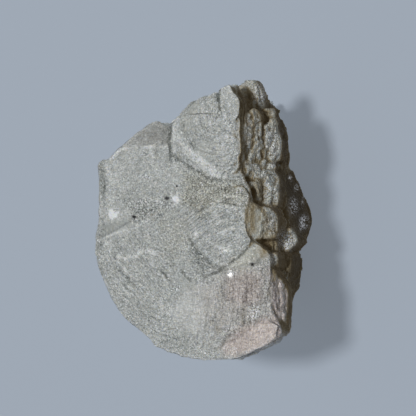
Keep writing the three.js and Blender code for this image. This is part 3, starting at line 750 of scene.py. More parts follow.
# %% [markdown]
# ### The face's low relief
# The broad face is a cleavage plane, and nothing on it is taller than half a millimetre: the groove at
# the notch, steps where a sheet ended, ripples that follow the shells' rims, and the edges of the shells
# themselves. Each line is a short list of places, and every point of the skin asks how far it is from
# that line and on which side.

# %% Distances
def to_line(points, line):
    """The distance of each point from a line of straight stretches, with a sign: positive on the line's
    left."""
    line, spot = np.asarray(line, float), points[:, None, :2]
    start, run = line[:-1], np.diff(line, axis=0)
    share = np.clip(((spot - start) * run).sum(axis=2) / (run**2).sum(axis=1), 0.0, 1.0)
    off = spot - start - share[..., None] * run
    distance = np.linalg.norm(off, axis=2)
    nearest = distance.argmin(axis=1)
    row = np.arange(len(points))
    turned = run[nearest, 0] * off[row, nearest, 1] - run[nearest, 1] * off[row, nearest, 0]
    return distance[row, nearest] * np.where(turned >= 0, 1.0, -1.0)


def inside(points, outline, soft=0.3):
    """1 inside an outline and 0 outside, with a soft rim. A point is inside if a ray from it towards +X
    crosses the outline an odd number of times."""
    outline = np.asarray(outline, float)
    a, b = outline, np.roll(outline, -1, axis=0)
    x, y = points[:, 0:1], points[:, 1:2]
    crosses = ((a[:, 1] > y) != (b[:, 1] > y)) & (
        x < (b[:, 0] - a[:, 0]) * (y - a[:, 1]) / (b[:, 1] - a[:, 1] + 1e-12) + a[:, 0])
    within = crosses.sum(axis=1) % 2 == 1
    rim = np.abs(to_line(points, np.vstack([outline, outline[:1]])))
    return ease(0.5 + np.where(within, 0.5, -0.5) * rim / soft)


def ripple(points, centre, size, seed):
    """Uneven rings round a centre: noise over the distance from it, which changes slowly along each
    ring."""
    spoke = points[:, :2] - np.asarray(centre)
    reach, angle = np.linalg.norm(spoke, axis=1), np.arctan2(spoke[:, 1], spoke[:, 0])
    return octaves(np.column_stack([reach / size, angle * 4.0, points[:, 2] * 0.0]), 1.0, seed, 2)


# %% Lines on the face
# (line, height in mm, half width in mm): a negative height is a groove
LINES = [
    ([(-0.7, 14.6), (-0.4, 13.0), (-0.3, 11.5), (0.0, 10.1), (0.7, 8.7)], -0.50, 0.24),
    ([(0.1, 13.4), (0.1, 11.5), (0.6, 9.7), (1.6, 8.2)], 0.12, 0.20),
    ([(-0.1, 13.4), (1.0, 13.9), (2.6, 15.0), (4.6, 16.2), (6.6, 17.4)], 0.10, 0.20),
    ([(1.0, 9.9), (2.9, 8.6), (4.9, 7.6), (7.6, 6.4), (9.1, 7.1), (10.3, 8.4)], -0.12, 0.22),
    ([(7.1, 18.9), (7.2, 17.4), (7.5, 15.6), (8.3, 14.2)], -0.22, 0.16),
    ([(3.6, -8.9), (5.6, -7.9), (7.6, -7.0), (9.4, -5.9), (11.2, -4.3), (12.6, -2.6)], -0.08, 0.16),
    ([(6.5, -7.5), (9.1, -6.9), (11.9, -6.0), (13.7, -5.1), (14.9, -4.6)], -0.08, 0.20),
    ([(-12.6, -2.7), (-9.1, -1.2), (-5.5, 0.6), (-2.2, 2.0), (0.4, 2.7)], -0.07, 0.20),
    ([(10.8, 6.4), (8.0, 5.7), (5.4, 4.0), (4.9, 2.2), (6.5, -0.2)], -0.05, 0.25),
    ([(7.2, -17.7), (8.8, -16.8), (10.3, -16.1), (11.4, -15.1), (12.2, -14.8), (13.1, -13.9), (14.3, -14.1),
      (15.5, -13.8)], -0.10, 0.20),
]
# (line, height in mm of the left side over the right)
STEPS = [
    ([(-12.9, -2.9), (-9.1, -1.4), (-5.5, 0.4), (-2.2, 1.8), (0.4, 2.5)], -0.10),
    ([(-2.6, -17.9), (-0.4, -14.6), (0.6, -10.4), (3.4, -7.9)], 0.06),
    ([(-9.6, 9.4), (-7.9, 8.9), (-3.8, 10.2), (-0.9, 10.6)], 0.08),
]
RINGS = [  # (outline, the rings' centre, the rings' width)
    (FAN, (7.4, 15.2), 0.75), (LENS, (13.0, -15.0), 0.6), (FLANK_LEAF, (9.0, 10.0), 0.9),
    (FACET, (-30.0, -10.0), 0.8),
]


def face_relief(points):
    """Adds up the face's low forms: each line is a bell curve of the distance from it, each step a steep
    S of that distance that fades out over 3 mm, and the rings and terraces are noise."""
    wander = points.copy()
    wander[:, :2] += 0.16 * noise3(points, 1.5, 61)[:, :2] + 0.07 * noise3(points, 0.5, 62)[:, :2]
    relief = np.zeros(len(points))
    for line, height, width in LINES:
        relief += height * np.exp(-((to_line(wander, line) / width) ** 2))
    for line, height in STEPS:
        beside = to_line(wander, line)
        relief += 0.5 * height * np.tanh(beside / 0.12) * np.exp(-((beside / 2.5) ** 2))
    for seed, (outline, centre, size) in enumerate(RINGS):
        relief += 0.045 * inside(points, outline, 1.0) * ripple(wander, centre, size, 70 + seed)
    terrace = octaves(points * [1.0, 1.0, 0.0], 5.5, 81, 3) * 5.0
    relief += 0.035 * (np.floor(terrace) + ease((terrace - np.floor(terrace)) / 0.18))
    return relief + 0.03 * noise(points, 0.8, 83) + 0.02 * noise(points, 0.42, 84)


face = ease((normals[:, 2] - 0.75) / 0.2) * ease((points[:, 2] - 18.6) / 0.8)
on_face = face > 0.01
height = np.zeros(len(points))
height[on_face] = face_relief(points[on_face]) * face[on_face]
points[:, 2] += height
write_points(skin, points)
normals = normals_of(skin)
print("low relief from", height.min().round(2), "to", height.max().round(2), "mm")

# %% [markdown]
# ### Gaps
# In a few places two tablets part and the eye looks into the dark. Pushing the skin in and down along a
# narrow lens gives a real hole, dark from every side, and the finish paints it black as well: painted
# shade.

# %% Gaps
# (place, half sizes across X, along Y and in Z, depth in mm)
GAPS = [
    ((10.9, 5.8, 19.5), (0.3, 0.6, 0.6), 1.0), ((11.6, 4.0, 19.0), (0.3, 0.7, 0.7), 1.4),
    ((13.9, 8.1, 14.4), (0.5, 0.5, 0.9), 1.6), ((12.5, 14.0, 16.4), (0.25, 0.25, 0.7), 0.8),
    ((10.6, 16.8, 18.2), (0.4, 0.25, 0.9), 1.0), ((11.2, 15.9, 16.6), (0.7, 0.25, 0.9), 0.8),
    ((13.4, 16.0, 13.4), (0.9, 0.3, 0.5), 1.0), ((14.6, 4.6, 12.6), (0.5, 0.4, 0.8), 0.8),
    ((-0.6, 14.4, 20.6), (0.4, 0.5, 0.8), 0.5),
]
INTO_GAP = np.array([-0.6, 0.0, -0.8])


def near_gap(points, place, half):
    """1 at a gap's middle and 0 well outside it: a bell curve over its half sizes, with a flat top."""
    return np.exp(-(((points - place) / half) ** 2).sum(axis=1) ** 1.5)


pushed = 0
for place, half, depth in GAPS:
    near = near_gap(points, place, half)
    points += INTO_GAP * (depth * near)[:, None]
    pushed += int((near > 0.5).sum())
print("points in a gap:", pushed)

# %% Rest on the floor, inside the box
SKIN_MARGIN = 0.02  # mm kept clear of the solid's own box
RESTS = 0.12  # mm: points lower than this lie on the floor
LOST_CORNER, LOST = (13.2, 16.0, 12.3), 0.6  # a thin corner here has broken off, by this many mm
points[:, 0] -= LOST * np.exp(-((points - LOST_CORNER) ** 2).sum(axis=1))
points[:, :2] -= CENTRE
points[:, 2] = np.where(points[:, 2] < RESTS, 0.0, points[:, 2])
points = np.clip(points, low_corner + SKIN_MARGIN * np.array([1, 1, 0]), high_corner - SKIN_MARGIN)
write_points(skin, points)
print("reach:", points.min(axis=0).round(2), points.max(axis=0).round(2))

# %% Thin out the flat stretches
# The face stays as fine as it is, because the marks laid on it later are kept at its points. The scales
# on the side that is seen keep most of theirs.
MOST_TRIANGLES = 198000
SCALES_WEIGHT, WEIGHT_FACTOR = 0.993, 1e-4  # a weight of 1 thins freely, 0 not at all
triangles = sum(len(polygon.vertices) - 2 for polygon in skin.polygons)
worn = stone.vertex_groups.new(name="worn")
on_scales = (points[:, 0] > 8.0) & (points[:, 2] > 8.0)
worn.add(np.flatnonzero(face < 0.6).tolist(), 1.0, "REPLACE")
worn.add(np.flatnonzero((face < 0.6) & on_scales).tolist(), SCALES_WEIGHT, "REPLACE")
thin = stone.modifiers.new("thin", "DECIMATE")
thin.vertex_group = "worn"
thin.vertex_group_factor = WEIGHT_FACTOR
thin.ratio = min(1.0, MOST_TRIANGLES / triangles)
skin = applied(stone)
skin.name = "tunellite"
print(triangles, "triangles thinned to", len(skin.polygons))

# %% [markdown]
# ## Where each finish goes
# Brown shade is painted in hollows and on the steep sides, a pink tint lies at the blunt end, partly the
# crystal's own and partly painted warm reflected light, and fine streaks follow the way each shell grew.
# These are facts about places, so they are worked out once over the points and stored as attributes, and
# the material only reads them. Painting them by hand would give the same kind of data.

# %% Hollows
points, edges = read(skin.vertices, "co"), edges_of(skin)
normals = normals_of(skin)
spots = points.copy()
spots[:, :2] += CENTRE  # the frame that the outlines are given in


def hollow(rounds, depth):
    """How far a point lies below the mean of its surroundings, from -1 on a ridge to 1 in a hollow of
    that depth."""
    return np.clip(((smoothed(points, edges, rounds) - points) * normals).sum(axis=1) / depth, -1.0, 1.0)


fine_hollow, wide_hollow = hollow(5, 0.05), hollow(40, 0.3)
print("share in wide hollows:", round(float((wide_hollow > 0.3).mean()), 3))

# %% [markdown]
# ### Marks
# Growth and wear left marks on the side that is seen: pale strands along a shell's lip and dull windows.
# Light and shade are painted among them too: brown shade in the cracks and where shadows fall, and a pink
# tint at the blunt end that is partly painted warm reflected light. Each is a short line or a patch with a
# few numbers. Their places are given as they are seen, in mm right of and above the view's middle, so that
# one list serves the face and the leaning scales. A point is marked only if it faces the camera.

# %% Seen from the camera
def seen(points):
    """Where points are seen: their way right and up from the aim, made larger or smaller by how near they
    are."""
    off = points - aim
    nearer = VIEW_DISTANCE / (VIEW_DISTANCE - off @ towards_camera)
    return np.column_stack([off @ view_right, off @ view_up]) * nearer[:, None]


sight = seen(points) + 0.16 * noise3(points, 1.1, 111)[:, :2] + 0.1 * noise3(points, 0.45, 112)[:, :2]
facing = ease((normals @ towards_camera - 0.05) / 0.15)


def stroke(line, half):
    """A soft line: a bell curve of the distance from it."""
    return np.exp(-((to_line(sight, line) / half) ** 2)) * facing


def area(outline, fade=1.0):
    """A patch that fades out over some mm at its rim."""
    return inside(sight, outline, fade) * facing


def spot(place, half):
    """A soft round patch: a bell curve of the distance from its middle."""
    off = (sight - np.asarray(place)) / half
    return np.exp(-(off**2).sum(axis=1) ** 1.5) * facing


def highest(spots):
    """The highest of several spots at each point; each is (place, half sizes, strength)."""
    return np.max([value * spot(place, half) for place, half, value in spots], axis=0)


print("facing the camera:", round(float(facing.mean()), 2), "of the points")

# %% Strands and cracks
# A tone above 0 is a pale strand and one below 0 a dark crack. Some are painted light and shade: pale lit
# edges on the shells' steps, and thin painted shadow beside them. Noise makes each of them thick and thin.
STROKES = [  # (line, tone, half width)
    ([(-5.5, 12.6), (-5.8, 11.1), (-6.0, 9.8), (-5.7, 8.4), (-5.5, 7.0)], -0.55, 0.24),
    ([(-4.6, 13.5), (-5.1, 12.2), (-5.5, 10.7), (-5.5, 9.3), (-5.1, 8.2)], 0.4, 0.21),
    ([(-3.9, 12.6), (-3.6, 11.4), (-3.0, 10.0), (-1.9, 8.7)], -0.25, 0.24),
    ([(-3.4, 15.0), (-2.5, 15.8), (-1.5, 16.3), (-0.3, 16.9)], -0.25, 0.21),
    ([(-5.1, 11.1), (-4.2, 10.0), (-3.1, 8.8), (-1.9, 7.8), (-0.8, 7.0), (0.1, 6.1), (1.1, 5.2),
      (2.4, 4.6), (3.9, 5.1)], 0.5, 0.48),
    ([(-4.8, 9.4), (-3.8, 8.2), (-2.5, 7.2), (-1.2, 6.3), (-0.1, 5.2)], 0.15, 0.3),
    ([(-5.1, 7.8), (-4.0, 7.0), (-2.7, 6.1), (-1.3, 5.4), (-0.3, 4.6), (0.8, 4.2), (2.1, 4.3),
      (3.4, 4.8)], -0.5, 0.27),
    ([(1.6, 17.7), (1.5, 16.8), (1.5, 15.6), (1.9, 14.8)], -0.9, 0.2),
    ([(-16.5, -4.8), (-14.4, -3.9), (-12.6, -3.4), (-10.9, -3.0), (-9.8, -2.2), (-8.5, -1.8)], 0.3, 0.2),
    ([(-15.6, -5.7), (-15.0, -5.2), (-14.1, -4.5)], 0.3, 0.2),
    ([(-13.5, -7.2), (-12.3, -7.6), (-11.1, -7.3), (-10.2, -6.6), (-9.2, -6.3), (-8.2, -6.8)], 0.5, 0.24),
    ([(-7.3, -9.2), (-6.5, -10.0), (-5.7, -10.9)], -0.6, 0.2),
    ([(-3.9, -9.4), (-3.4, -10.3), (-2.7, -10.8)], -0.45, 0.2),
    ([(-8.7, -8.1), (-7.6, -9.3), (-6.3, -11.2)], 0.25, 0.2),
    ([(-13.8, -7.8), (-12.6, -9.0), (-11.4, -10.3)], 0.3, 0.2),
    ([(-13.5, -9.0), (-12.3, -10.3), (-11.1, -11.8)], -0.25, 0.22),
    ([(-13.0, -11.2), (-12.2, -12.3)], -0.35, 0.2),
    ([(-14.5, -9.3), (-13.5, -10.8), (-12.3, -12.6)], 0.2, 0.21),
    ([(1.6, -3.9), (2.7, -3.4), (3.6, -2.9)], 0.5, 0.2),
    ([(0.0, -4.8), (0.9, -5.7), (2.1, -6.1), (3.4, -6.5)], 0.45, 0.2),
    ([(1.1, 0.4), (2.4, -0.3), (3.8, -1.2)], 0.5, 0.2),
    ([(0.8, -0.6), (1.8, -1.5), (2.7, -2.2)], 0.4, 0.2),
    ([(2.7, 0.4), (4.2, -0.3), (5.4, -1.1)], 0.4, 0.2),
    ([(1.8, 0.1), (3.1, -0.8), (4.5, -1.6)], -0.35, 0.18),
    ([(1.3, -0.9), (2.4, -1.8)], -0.35, 0.18),
    ([(3.6, -0.8), (4.8, -1.5), (5.5, -2.1)], -0.25, 0.18),
    ([(6.5, -5.4), (5.7, -6.3), (4.8, -7.2), (3.9, -7.9)], -0.6, 0.18),
    ([(3.9, -7.9), (3.0, -8.4), (1.6, -9.2)], -0.4, 0.18),
    ([(-2.7, -4.8), (-1.9, -5.8), (-1.1, -6.9), (-0.1, -7.9), (0.9, -8.7), (1.8, -9.2)], -0.3, 0.26),
    ([(-0.3, -10.3), (0.9, -9.8), (2.1, -9.3), (3.6, -9.3)], -0.3, 0.21),
    ([(2.1, 3.4), (3.6, 3.6), (5.2, 3.0)], 0.3, 0.2),
    ([(2.4, 2.7), (4.2, 2.5), (5.8, 1.9)], -0.3, 0.2),
    ([(2.7, 1.8), (4.5, 1.6), (6.0, 1.2)], 0.35, 0.21),
    ([(2.4, 0.9), (4.2, 0.4), (5.7, 0.3)], -0.35, 0.2),
    ([(-16.1, 6.5), (-15.6, 5.0), (-15.6, 3.3), (-15.8, 1.6)], -0.25, 0.21),
    ([(-15.3, 6.8), (-14.8, 5.0), (-14.8, 2.7)], 0.3, 0.21),
    ([(-14.2, 6.9), (-13.8, 5.0)], 0.25, 0.21),
    ([(-16.3, 1.2), (-16.2, -1.1), (-16.3, -3.6)], 0.25, 0.28),
    ([(-14.5, 7.5), (-13.5, 8.5), (-12.3, 8.8)], 0.35, 0.24),
    ([(-13.2, 8.7), (-11.5, 9.0), (-9.9, 9.2), (-8.2, 9.3), (-6.8, 9.0), (-6.0, 9.3)], 0.25, 0.21),
    ([(-8.7, 9.2), (-8.5, 7.9), (-8.4, 6.8)], 0.35, 0.24),
    ([(-7.9, 9.2), (-7.8, 7.9)], -0.2, 0.2),
    ([(0.6, -11.5), (0.8, -13.8), (0.8, -16.1)], 0.2, 0.21),
    ([(1.3, -11.2), (1.3, -13.8), (1.3, -15.6)], 0.25, 0.2),
    ([(2.1, -11.5), (2.2, -13.8)], -0.2, 0.21),
    ([(5.7, -12.3), (5.5, -13.8)], -0.35, 0.3),
    ([(6.6, -13.8), (6.5, -16.1), (6.1, -17.6)], -0.3, 0.21),
    ([(5.4, -15.0), (5.2, -16.3), (5.4, -17.4)], -0.4, 0.22),
    ([(4.6, -15.3), (4.5, -16.8)], -0.25, 0.2),
    ([(10.7, -11.2), (10.7, -13.2), (10.7, -14.7), (11.1, -15.9), (11.4, -17.1)], 0.55, 0.18),
    ([(12.0, -11.7), (12.0, -13.8), (11.8, -15.9)], 0.4, 0.18),
    ([(11.0, -11.4), (11.1, -13.2), (11.0, -14.7)], -0.3, 0.18),
    ([(9.8, -9.6), (10.0, -11.4), (10.2, -13.5), (10.4, -15.3)], -0.45, 0.2),
    ([(11.5, -11.4), (11.6, -13.8), (11.5, -16.1)], -0.15, 0.18),
    ([(2.1, -20.6), (3.3, -19.1), (4.5, -18.0), (6.3, -17.2), (7.5, -16.5), (8.7, -16.3),
      (10.3, -16.8)], -0.25, 0.2),
]
SHADE_STROKES = [  # (line, how much painted brown shade, half width): lines of shade between the plates
    ([(6.9, 0.9), (8.1, -0.1), (8.8, -1.5), (9.0, -3.0), (8.7, -4.2), (7.5, -4.8)], 0.5, 0.3),
    ([(5.1, 8.7), (5.0, 7.2), (5.1, 5.4)], 0.45, 0.27),
    ([(6.7, 14.2), (6.8, 12.4), (6.8, 10.2), (6.6, 8.4)], 0.7, 0.18),
    ([(8.3, 13.5), (8.3, 11.4), (8.4, 9.0), (8.2, 7.2)], 0.6, 0.2),
    ([(10.7, 6.0), (10.9, 3.4), (10.8, 1.2), (10.3, -0.1)], 0.8, 0.21),
    ([(3.8, 11.1), (4.3, 10.5)], 0.45, 0.24),
    ([(9.8, -9.6), (9.9, -10.7)], 0.6, 0.33),
    ([(11.2, -9.3), (11.4, -10.5)], 0.6, 0.33),
    ([(5.4, -15.0), (5.2, -16.3), (5.4, -17.4)], 0.12, 0.38),
    ([(1.2, -17.8), (1.8, -18.6)], 0.2, 0.3),
]
marks = {field: np.zeros(len(points)) for field in ("tone", "calm", "olive", "pink_and_reflection", "brown_shade")}
ragged = np.clip(1.0 + 0.7 * noise(points, 0.7, 113) + 0.4 * noise(points, 0.3, 114), 0.0, 1.6)
for line, value, half in STROKES:
    marks["tone"] += value * stroke(line, half) * ragged
print("strands over", round(float((np.abs(marks["tone"]) > 0.1).mean()), 3), "of the points")

# %% Patches
# tone makes a patch lighter or darker, calm takes its grain away or adds to it below 0, olive tints it, the
# pink field tints it, partly with painted warm reflected light, and the brown field paints brown shade on
# it where shadows fall, or takes shade away below 0 where it is lit.
AREAS = {  # what it is: (outline, what it adds)
    "fan shade": ([(-4.0, 12.3), (-3.9, 13.9), (-2.9, 15.4), (-1.6, 16.1), (-1.2, 15.0), (-2.1, 13.2),
        (-2.9, 11.4), (-3.4, 10.5)], dict(tone=-0.2, calm=0.7, olive=0.25)),
    "fan middle": ([(-1.8, 8.7), (-1.2, 10.2), (0.3, 10.5), (1.2, 9.3), (0.6, 7.8),
        (-0.9, 7.6)], dict(tone=-0.12, calm=0.6, olive=0.15)),
    "point": ([(1.6, 17.7), (3.4, 18.3), (4.6, 16.2), (4.8, 14.4), (2.7, 14.7),
        (1.6, 15.6)], dict(calm=0.5)),
    "rim band": ([(-13.3, 8.2), (-11.5, 10.3), (-10.0, 12.0), (-7.9, 13.0), (-6.1, 13.3), (-5.8, 12.0),
        (-6.1, 9.4), (-8.7, 9.3), (-11.2, 9.2)], dict(tone=-0.28, calm=0.6, pink_and_reflection=0.2)),
    "dull patch": ([(-15.6, -2.1), (-14.4, -1.9), (-12.2, -1.6), (-11.7, -2.7), (-13.2, -3.6),
        (-15.6, -4.3)], dict(tone=-0.28, calm=0.8)),
    "dark grains": ([(-11.7, 0.4), (-6.5, 0.8), (-6.8, -1.5), (-10.2, -2.1),
        (-11.5, -2.7)], dict(tone=-0.05, calm=-0.8, olive=0.1)),
    "olive grains": ([(-3.4, 5.4), (-1.2, 5.1), (0.8, 3.9), (4.8, 4.2), (6.3, 1.5), (6.0, 0.3),
        (1.1, 0.8), (-1.2, -1.1), (-3.9, 1.2)], dict(tone=-0.06, calm=-0.5, olive=0.7)),
    "olive middle": ([(-7.2, -2.1), (-3.4, -1.1), (-2.7, -5.5), (-5.4, -8.1),
        (-7.2, -5.5)], dict(calm=-0.2, olive=0.3)),
    "grains by the lens": ([(-2.7, -5.1), (-0.4, -7.6), (1.2, -9.0), (-0.4, -10.2), (-1.8, -9.3),
        (-2.7, -7.0)], dict(tone=-0.2, calm=-0.5)),
    "smooth low part": ([(-4.8, -13.8), (-3.4, -12.3), (-1.2, -11.4), (0.6, -12.3), (0.6, -15.6),
        (-1.2, -19.1), (-4.2, -18.3), (-5.4, -15.6)], dict(tone=0.08, calm=0.6, pink_and_reflection=0.1)),
    "small window": ([(-4.2, -11.2), (-3.3, -10.7), (-2.7, -11.1), (-3.0, -12.2),
        (-4.0, -12.3)], dict(tone=-0.1, calm=0.8, olive=0.1)),
    "pink_and_reflection": ([(2.5, -10.0), (6.3, -9.2), (8.1, -10.0), (8.1, -13.8), (5.5, -14.7),
        (3.0, -13.8)], dict(tone=-0.06, calm=0.1, pink_and_reflection=0.42)),
    "facet": ([(-0.4, -12.3), (2.5, -10.0), (8.1, -8.1), (9.6, -9.3), (9.6, -15.6), (6.3, -17.6),
        (1.1, -19.1)], dict(tone=-0.04, pink_and_reflection=0.45)),
    "ledge": ([(2.1, -21.0), (3.6, -18.9), (4.8, -18.0), (6.6, -17.4), (7.5, -16.8), (9.0, -16.5),
        (10.5, -16.8), (11.1, -18.3), (10.0, -20.1), (8.1, -21.3), (5.5, -22.1),
        (2.5, -22.2)], dict(tone=0.1, calm=0.3, pink_and_reflection=1.0)),
    "wedge": ([(2.1, -9.3), (4.0, -7.9), (6.3, -5.7), (7.6, -4.5), (8.1, -7.2), (7.2, -8.1),
        (5.5, -9.0)], dict(calm=0.6, olive=0.8)),
    "smooth plate": ([(5.8, 0.3), (6.6, 0.8), (7.5, 0.3), (8.4, -0.8), (8.7, -1.9), (8.7, -3.1),
        (8.4, -4.0), (7.5, -4.2), (6.3, -3.8),
        (5.8, -1.8)], dict(tone=-0.05, calm=0.8, olive=1.0, brown_shade=0.1)),
    "recess": ([(7.9, -4.6), (9.2, -4.6), (9.0, -6.8), (8.1, -7.3)], dict(calm=0.7, brown_shade=0.75)),
    "recess 2": ([(9.4, -4.0), (10.5, -4.0), (10.7, -5.2), (10.2, -6.6),
        (9.4, -6.0)], dict(calm=0.5, brown_shade=0.7)),
    "under the rim": ([(4.8, 15.6), (5.7, 15.6), (6.0, 14.4), (5.5, 12.4), (5.2, 8.7),
        (4.8, 8.7)], dict(calm=0.5, brown_shade=0.55)),
    "triangle": ([(8.1, 14.7), (9.4, 14.7), (9.0, 13.2), (8.5, 12.8),
        (8.1, 13.7)], dict(calm=0.5, brown_shade=0.7)),
    "recess 3": ([(6.5, 3.9), (8.1, 4.2), (8.1, 1.5), (7.2, 1.2)], dict(calm=0.3, olive=0.5, brown_shade=0.45)),
    "brown wall": ([(10.9, 5.4), (11.7, 3.6), (12.3, 1.2), (12.4, -1.8), (12.4, -3.3), (11.2, -3.9),
        (10.5, -4.5), (10.8, -1.1), (10.9, 1.2), (10.8, 3.4)], dict(calm=0.8, brown_shade=0.85)),
    "brown wall 2": ([(10.8, -6.8), (13.5, -5.7), (13.9, -8.1), (13.8, -10.8), (12.0, -10.8),
        (11.4, -9.0), (10.3, -10.8), (9.6, -9.6), (10.7, -8.1)], dict(calm=0.6, brown_shade=0.75)),
    "shaded knob": ([(3.9, 17.7), (5.0, 18.4), (5.7, 18.3), (6.5, 17.4), (7.0, 16.2), (7.5, 14.8),
        (6.3, 14.7), (5.1, 15.8)], dict(calm=0.8, brown_shade=0.55)),
    # the pale stack at the blunt end is lit: painted light, lighter and pinker, with the brown shade taken
    # away
    "pale stack": ([(9.2, -9.0), (9.6, -11.4), (9.6, -15.6), (10.8, -19.1), (12.0, -16.5), (12.2, -11.4),
        (11.2, -10.3), (10.2, -9.3)], dict(tone=0.1, calm=0.4, pink_and_reflection=0.9, brown_shade=-0.5)),
}
WIDE_FADE = {"facet": 3.5}  # mm over which a patch fades out, where that isn't 1
for name, (outline, values) in AREAS.items():
    covered = area(outline, WIDE_FADE.get(name, 1.0))
    for field, value in values.items():
        marks[field] += value * covered
for line, value, half in SHADE_STROKES:
    marks["brown_shade"] = np.maximum(marks["brown_shade"], value * stroke(line, half))
tone, calm = marks["tone"], marks["calm"]
print(len(AREAS), "patches")

# %% Bright, milky and dark spots
GLINTS = [  # (place, half sizes, strength): glossier places, which the colour also paints with white glints: painted highlights
    ((-9.1, 4.7), (0.7, 0.5), 0.8), ((-7.2, 0.8), (0.7, 0.6), 0.7), ((-9.8, 1.0), (0.8, 0.5), 0.6),
    ((-5.9, 0.1), (0.8, 0.4), 0.5), ((-9.5, -6.5), (0.9, 0.5), 0.8), ((-4.6, -12.0), (0.5, 0.4), 0.6),
    ((3.3, -9.8), (0.6, 0.5), 0.6), ((7.0, -15.6), (0.8, 1.1), 0.8), ((2.9, -18.3), (0.8, 0.5), 0.8),
    ((8.2, -11.9), (0.6, 0.6), 0.5), ((3.5, -21.3), (0.8, 0.4), 0.6), ((0.1, -5.0), (0.4, 0.7), 0.7),
    ((2.0, -6.5), (0.7, 0.4), 0.7), ((11.8, -4.8), (1.2, 1.35), 1.0), ((9.8, -7.6), (0.6, 0.9), 0.7),
    ((7.8, 16.9), (0.9, 1.35), 0.7), ((9.7, 6.5), (0.45, 0.53), 0.7), ((9.6, 10.2), (1.2, 2.55), 0.45),
    ((9.4, 3.0), (1.2, 2.55), 0.45), ((6.0, 11.4), (0.6, 2.4), 0.3), ((9.6, -2.4), (0.75, 1.35), 0.5),
]
SPARKS = [  # the same, for points that shine on the dark wall
    ((12.8, 0.3), (0.6, 1.2), 0.8), ((14.4, -2.1), (0.6, 1.0), 1.0), ((14.0, -2.9), (0.4, 0.5), 0.8),
    ((12.3, 4.5), (0.3, 0.3), 0.9), ((13.2, 3.0), (0.32, 0.4), 0.9), ((14.2, 1.0), (0.2, 0.9), 0.5),
    ((12.2, 12.2), (0.25, 2.2), 0.35),
]
MILK = [  # the same, for milky spots that noise frays
    ((-13.7, -0.8), (1.7, 1.1), 1.2), ((-1.8, -4.0), 0.4, 0.9), ((3.3, -9.9), 0.4, 0.8),
    ((2.2, 9.5), 0.25, 0.6), ((-1.4, 1.1), 0.3, 0.5),
]
CLEAR_MILK = [((-4.8, 1.3), 0.6, 1.3)]  # one that isn't frayed
SPECKS = [(place, (0.34, 0.22), 1.8) for place in ((-11.1, -1.4), (6.6, -8.4), (-6.1, 1.5), (1.6, 17.8))]
glint, spark, specks = highest(GLINTS), highest(SPARKS), highest(SPECKS)
milk = sum(value * spot(place, half) for place, half, value in MILK)
milk *= np.clip(0.9 + 0.6 * noise(points, 0.7, 115) + 0.4 * noise(points, 0.35, 116), 0.0, 1.3)
milk = np.maximum(milk, highest(CLEAR_MILK))
print("milk over", round(float((milk > 0.5).mean()), 4), "of the points")

# %% Sides and walls
# Each is 1 in its own part of the stone and 0 elsewhere. A limit and a width in mm say where it begins, or
# a limit and a width of the normal's height how steep the surface has to be.
x, y, z = spots.T
up = normals[:, 2]
steep, slanting = ease((0.5 - up) / 0.3), ease((0.93 - up) / 0.2)
scaly = ease((x - 8.6) / 1.2) * ease((20.2 - z) / 0.5) * ease((17.5 + y) / 4.0)
rim_x = 8.6 - 1.5 * ease((y - 17.0) / 1.5)
east_rim = ease((x - rim_x) / 1.2) * ease((21.4 - z) / 0.3) * ease((12.5 + y) / 3.0)
wall = ease((0.42 - smoothed(normals, edges, 12)[:, 2]) / 0.25)
stack = ease((-6.0 - y) / 1.5) * ease((z - 16.3) / 0.8)
slope_side = ease((0.8 - up) / 0.5) * ease((20.9 - z) / 0.7)
others = (1.0 - scaly) * slope_side * ease((10.0 - x) / 1.5)
print("the scaly side holds", round(float(scaly.mean()), 2), "of the points")

# %% Painted brown shade
# Brown shade is painted here: darker in hollows and on steep walls, along the side band under the face's
# rim, in the patches and lines listed above where shadows fall, and faintly in the wide hollows of the
# other sides. It is taken away on the lit stack at the blunt end.
drift = octaves(points, 2.4, 91, 3)
in_wide, in_fine = np.maximum(0, wide_hollow), np.maximum(0, fine_hollow)
wall_shade = np.clip(0.72 + 0.35 * ease((x - 11.0) / 1.5) + 0.15 * drift, 0, 1)
brown_shade = scaly * np.clip(0.02 + 0.22 * in_wide + 0.42 * in_fine + 0.12 * drift + 0.34 * steep, 0, 1)
brown_shade = np.maximum(brown_shade, east_rim * slanting * 0.5 * ease((z - 20.0) / 0.3))
brown_shade = np.maximum(brown_shade * (1.0 - 0.6 * stack), scaly * wall * wall_shade)
brown_shade = np.clip(brown_shade + marks["brown_shade"], 0, 1)
brown_shade = np.maximum(brown_shade, others * np.clip(-0.08 + 0.4 * in_wide + 0.2 * drift, 0, 0.3))
print("clay over", round(float(brown_shade.mean()), 2), "of the points on average")

# %% Painted black shade in gaps and on dark walls, light from behind and tints
SHADED = [  # (outline, how dark): painted shade on walls that turn away from the light
    ([(10.7, 5.6), (12.5, 5.3), (14.1, 2.7), (15.4, -1.1), (15.4, -3.0), (14.0, -5.3), (13.4, -4.2),
      (12.5, -1.7), (11.9, 0.5), (11.0, 2.7)], 0.5),
    ([(9.0, 16.1), (10.1, 15.8), (11.5, 13.5), (12.2, 10.2), (12.2, 6.5), (11.3, 6.8), (10.8, 10.2),
      (10.1, 13.5), (9.2, 15.3)], 0.4),
    ([(12.4, -6.6), (14.2, -6.6), (14.6, -8.1), (14.6, -10.8), (13.4, -12.6), (12.3, -11.0)], 0.4),
]
# black painted shade in the holes and on the walls above, and a few dark specks
shade_and_specks = np.zeros(len(points))
for place, half, depth in GAPS:
    shade_and_specks = np.maximum(shade_and_specks, near_gap(spots, place, np.array(half) * 0.95))
for outline, value in SHADED:
    shade_and_specks = np.maximum(shade_and_specks, value * area(outline))
shade_and_specks = np.clip(np.maximum(shade_and_specks, specks), 0.0, 1.0)
through = others * (0.45 + 0.55 * ease(z / 20.0))
tone += 0.2 * through - 0.25 * ease((-15.0 - sight[:, 0]) / 1.5) * facing
calm += 0.35 * through
olive = np.clip(marks["olive"] + 0.55 * scaly * (1.0 - stack), 0, 1)
